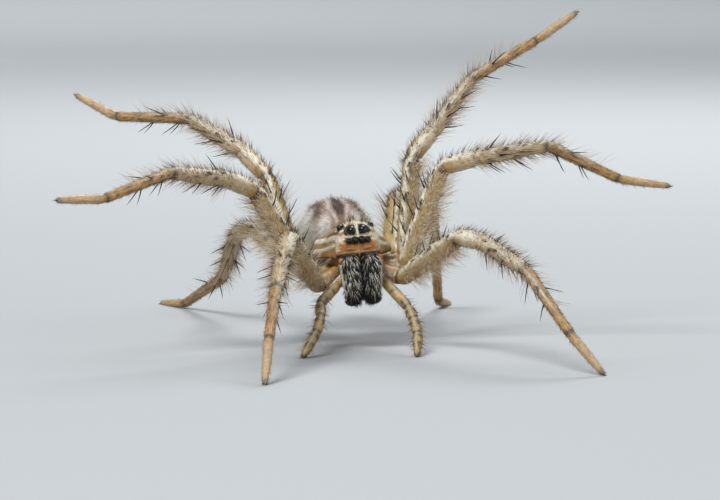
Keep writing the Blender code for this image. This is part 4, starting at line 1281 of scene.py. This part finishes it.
def make_leg_hair(legs, finish):
    """Coat of each leg.

    In order: a fine lying coat, short dark and pale strokes, the white upper line, the white patches
    of the coxa, the dots, pale hairs low on the femur, two fringes under it, a fringe and dark hairs
    round the tibia, long hairs and dark ones on the upper side, and fine hairs round the foot.
    """
    for k, ((side, number), leg) in enumerate(legs.items()):
        draw = np.random.default_rng(SEEDS["legs"] + k)
        place, angle, pale = leg["place"], leg["angle"], leg["marks"]["pale"]
        thinner = ramp(place, 4.0, 5.5)
        free = (1.0 - 0.8 * pale) * ramp(place, 0.90, 1.0) * (1.0 - 0.6 * thinner)
        under = 1.0 - np.exp(-(angle / 1.2) ** 2)
        femur = between(place, 1.05, 1.15, 1.9, 1.98)
        shin = between(place, 2.7, 3.0, 3.9, 4.1)
        dots = ramp(leg_dots(place, angle, LINE[number][0]), 0.45, 0.8)
        rows = [
            (3900, ramp(place, 0.3, 0.6) * (1.0 - 0.5 * thinner),
             (0.08, 0.19), (0.012, 0.020), (4, 20), 0.25, 0.12),
            (900, free * np.interp(place, *STROKES),
             (0.12, 0.26), (0.018, 0.032), (4, 14), 0.25, 0.16, {"dark": 0.75, "pale": 0.0}),
            (1100, free * (0.4 + 0.6 * ramp(place, 1.9, 2.1)),
             (0.12, 0.26), (0.018, 0.030), (4, 16), 0.25, 0.16, {"dark": 0.0, "pale": 0.65}),
            (1250, ramp(pale, 0.35, 0.7) * ramp(place, 1.0, 1.06),
             (0.10, 0.20), (0.020, 0.032), (6, 22), 0.25, 0.12, WHITE_HAIR),
            (240, ramp(pale, 0.1, 0.4) * fade(place, 0.95, 1.0),
             (0.08, 0.18), (0.018, 0.028), (10, 40), 0.25, 0.25, WHITE_HAIR),
            (300, dots, (0.09, 0.15), (0.030, 0.042), (22, 42), 0.25, 0.1, DARK_HAIR),
            (620, near(np.abs(angle), 2.0, 0.5) * femur,
             (0.14, 0.26), (0.022, 0.032), (20, 45), 0.1, 0.1, {"pale": 0.85, "dark": 0.0}),
            (360, under * femur, (0.50, 1.10), (0.013, 0.020), (45, 75), 0.25, 0.12, None, LONG_HAIR),
            (200, near(np.abs(angle), math.pi, 0.9) * femur,
             (0.35, 0.85), (0.015, 0.022), (45, 75), 0.25, 0.12, {"dark": 0.0, "pale": 0.9}, LONG_HAIR),
            (260, under * shin, (0.45, 1.00), (0.013, 0.020), (38, 68), 0.25, 0.12, None, LONG_HAIR),
            (150, under * shin, (0.30, 0.62), (0.014, 0.022), (35, 60), 0.15, 0.12, DARK_HAIR),
            (150, near(angle, 0.0, 1.0) * between(place, 2.4, 3.0, 4.4, 4.8),
             (0.45, 1.00), (0.010, 0.016), (40, 65), 0.2, 0.1, None, LONG_HAIR),
            (330, near(angle, 0.0, 1.3) * between(place, 1.2, 1.9, 3.6, 4.3),
             (0.26, 0.52), (0.015, 0.023), (38, 66), 0.1, 0.1, DARK_HAIR),
            (420, under * ramp(place, 3.9, 4.1),
             (0.08, 0.24), (0.011, 0.018), (30, 55), 0.15, 0.1, {"dark": 0.35}),
        ]
        finish_piece(coat_object("hair_leg_%s_%d" % (side, number), coat(leg, draw, rows), finish), "leg")


def make_palp_hair(palps, finish):
    """Coat of the palps: short and flat, with dark and pale strokes and a few long hairs of each."""
    for k, (side, palp) in enumerate(palps.items()):
        draw = np.random.default_rng(SEEDS["palps"] + k)
        place, dark = palp["place"], palp["marks"]["dark"]
        rows = [
            (2000, 0.6 + ramp(place, 2.0, 4.0), (0.06, 0.12), (0.012, 0.018), (5, 22), 0.25, 0.12),
            (520, (0.08 + ramp(dark, 0.3, 0.7)) * ramp(place, 1.0, 1.3),
             (0.07, 0.14), (0.018, 0.028), (5, 18), 0.25, 0.16, {"dark": 0.9, "pale": 0.0}),
            (260, (1.0 - dark) ** 4 * ramp(place, 0.3, 0.6),
             (0.06, 0.12), (0.018, 0.028), (5, 25), 0.25, 0.16, {"dark": 0.0, "pale": 0.9}),
            (190, ramp(place, 1.2, 2.0), (0.25, 0.55), (0.010, 0.016), (35, 65), 0.2, 0.1),
            (80, ramp(place, 1.2, 2.0), (0.22, 0.42), (0.014, 0.022), (40, 65), 0.1, 0.1, DARK_HAIR),
        ]
        finish_piece(coat_object("hair_palp_" + side, coat(palp, draw, rows), finish), "leg")


def make_jaw_hair(jaws, finish):
    """Coat of the jaws.

    In order: black hairs in front, between the jaws, in the gap's foot and round the fangs, pale
    strands over them, fewer towards the fangs, and the pale edge on the outer side.
    """
    draw = np.random.default_rng(SEEDS["jaws"])
    batches = []
    for side in SIDES:
        jaw = jaws[side]
        height, edge = jaw["points"][..., 2], jaw["marks"]["pale"]
        ahead, inner = -jaw["normals"][..., 1], -SIDES[side] * jaw["normals"][..., 0]
        free = fade(height, 0.42, 0.52) * (1.0 - edge)
        front = ramp(ahead, -0.5, 0.0) * free
        strands = ramp(ahead, -0.2, 0.4) * free * (0.03 + 0.97 * ramp(height, -1.42, -0.80))
        gap = ramp(inner, 0.5, 0.8) * fade(height, 0.3, 0.4)
        gap_foot = ramp(inner, 0.2, 0.5) * fade(height, -1.25, -0.95)
        foot = fade(height, -1.40, -1.05) * ramp(ahead, -0.7, -0.3)
        batches += coat(jaw, draw, [
            (420, front, (0.18, 0.36), (0.018, 0.028), (4, 16), 0.12, 0.14, DARK_HAIR),
            (520, gap, (0.16, 0.28), (0.018, 0.028), (20, 70), 0.12, 0.2, DARK_HAIR),
            (170, gap_foot, (0.20, 0.32), (0.018, 0.028), (35, 75), 0.3, 0.15, DARK_HAIR),
            (260, foot, (0.12, 0.24), (0.018, 0.028), (30, 65), 0.25, 0.15, DARK_HAIR),
            (175, strands, (0.26, 0.48), (0.022, 0.030), (8, 20), 0.12, 0.10, {"pale": 0.9}),
            (90, edge, (0.16, 0.28), (0.018, 0.028), (4, 16), 0.12, 0.10, {"pale": 1.0}),
        ])
    finish_piece(coat_object("hair_jaws", batches, finish), "jaw")


def make_thorax_hair(shield, finish):
    """Coat of the face and thorax.

    In order: white and dark hairs of the face's lines, white ones of the bands, a fine lying coat,
    and a few long dark ones over the eyes.
    """
    draw = np.random.default_rng(SEEDS["thorax"])
    free = 1.0 - shield["marks"]["dark"]
    forward, top = shield["points"][..., 1], shield["points"][..., 2]
    face = fade(forward, 0.6, 1.0)
    white = ramp(shield["marks"]["pale"], 0.30, 0.65) * free**2
    lines = white * face * ramp(top, 0.9, 1.1)
    crown = ramp(top, 1.55, 1.8) * between(forward, 0.35, 0.5, 1.2, 1.8)
    rows = [
        (2600, lines, (0.05, 0.11), (0.012, 0.019), (12, 40), 0.1, 0.35, WHITE_HAIR),
        (420, lines, (0.07, 0.14), (0.014, 0.020), (12, 40), 0.1, 0.3, {"pale": 0.0, "dark": 0.8}),
        (4200, white * (1.0 - face), (0.09, 0.19), (0.014, 0.024), (10, 32), 0.2, 0.2, WHITE_HAIR),
        (4600, free**2 * ramp(top, 0.3, 0.6) * ramp(forward, 0.5, 0.9),
         (0.07, 0.15), (0.011, 0.018), (8, 26)),
        (46, crown, (0.30, 0.55), (0.018, 0.026), (50, 80), -0.15, 0.2, DARK_HAIR),
    ]
    finish_piece(coat_object("hair_thorax", coat(shield, draw, rows), finish), "shield")


def make_abdomen_hair(body, finish):
    """Coat of the abdomen in two halves, lying with longer hairs over it, and of the spinnerets."""
    draw = np.random.default_rng(SEEDS["abdomen"])
    abdomen = body["abdomen"]
    upper = ramp(abdomen["points"][..., 2], 0.4, 0.8)
    for part, count, grown in (("upper", 11000, upper), ("lower", 8000, 1.0 - upper)):
        batches = coat(abdomen, draw, [
            (count, grown, (0.12, 0.26), (0.016, 0.026), (10, 32)),
            (700, grown, (0.28, 0.50), (0.014, 0.022), (30, 55), 0.3, 0.15),
        ])
        if part == "lower":
            for name, piece in body.items():
                if name.startswith("spinneret"):
                    batches += coat(piece, draw, [(300, None, (0.08, 0.18), (0.012, 0.020), (10, 35))])
        finish_piece(coat_object("hair_abdomen_" + part, batches, finish), "abdomen")


ORIGIN = frame_origin()

# Waxed chitin of legs and palps, hardened as it grew: straw going to rust, mottled, softly shining
leg_cuticle = cuticle("leg_cuticle", ("#AC9050", "#B0803F", "#22120A", "#F2ECD8"),
                      roughness=0.48, grain=0.035, grain_depth=0.012, coat=0.06)

# Thicker chitin of the shield: brown with black and white marks, orange on the face, a dull shine
shield_cuticle = cuticle("shield_cuticle", ("#9A773A", "#AA6A28", "#0E0805", "#EAE4D0"),
                         roughness=0.50, grain=0.05, grain_depth=0.012, coat=0.05)

# Soft skin of the abdomen, stretched over what is inside: grey brown, matt, finely wrinkled
abdomen_skin = cuticle("abdomen_skin", ("#8E7460", "#9C6A52", "#46301F", "#E6E1D8"),
                       roughness=0.75, grain=0.07, grain_depth=0.020)

# Hard dark chitin of the jaws: near black between the hairs of the front, brown behind
jaw_chitin = cuticle("jaw_chitin", ("#100806", "#6E4630", "#060303", "#E8E4DC"),
                     roughness=0.45, grain=0.06, grain_depth=0.006, coat=0.06)

# Polished clear cornea over black: a mirror that shows the lamps as small white points
lens_cornea = horn("lens_cornea", "#010101", "#020202", roughness=0.03, coat=0.0, grain=0.30)

# Dense horn of the fangs: dark red brown, glossy
fang_chitin = horn("fang_chitin", "#180704", "#3C140A", roughness=0.18, coat=0.8, grain=0.20)

# Solid chitin of spines and claws: black brown with a narrow shine along them
spine_chitin = horn("spine_chitin", "#0C0806", "#1E130C", roughness=0.38, coat=0.2, grain=0.20)

# Hollow hairs of legs, palps and shield: straw, rust or white with light tips, silky
pale_seta = seta("pale_seta", ("#CCB064", "#C68A4A", "#3A2410", "#F6F1E2"), roughness=0.5)

# Stiff hairs of the jaws: ash white strands over black ones, a little duller
jaw_seta = seta("jaw_seta", ("#B2AC98", "#B2AC98", "#060303", "#F2EEDF"), roughness=0.55)

# Soft down of the abdomen: grey brown to white, almost matt
abdomen_seta = seta("abdomen_seta", ("#A4917F", "#A2745C", "#38271B", "#FBF8F2"), roughness=0.6)

make_camera()
make_stage()
make_lights()
PLAN = leg_plan()
BODY, LEGS, PALPS = make_skin(PLAN, [leg_cuticle, shield_cuticle, abdomen_skin])
JAWS = make_head_parts(jaw_chitin, shield_cuticle, fang_chitin, lens_cornea)
make_spines(PLAN, spine_chitin)
make_leg_hair(LEGS, pale_seta)
make_palp_hair(PALPS, pale_seta)
make_jaw_hair(JAWS, jaw_seta)
make_thorax_hair(BODY["shield"], pale_seta)
make_abdomen_hair(BODY, abdomen_seta)
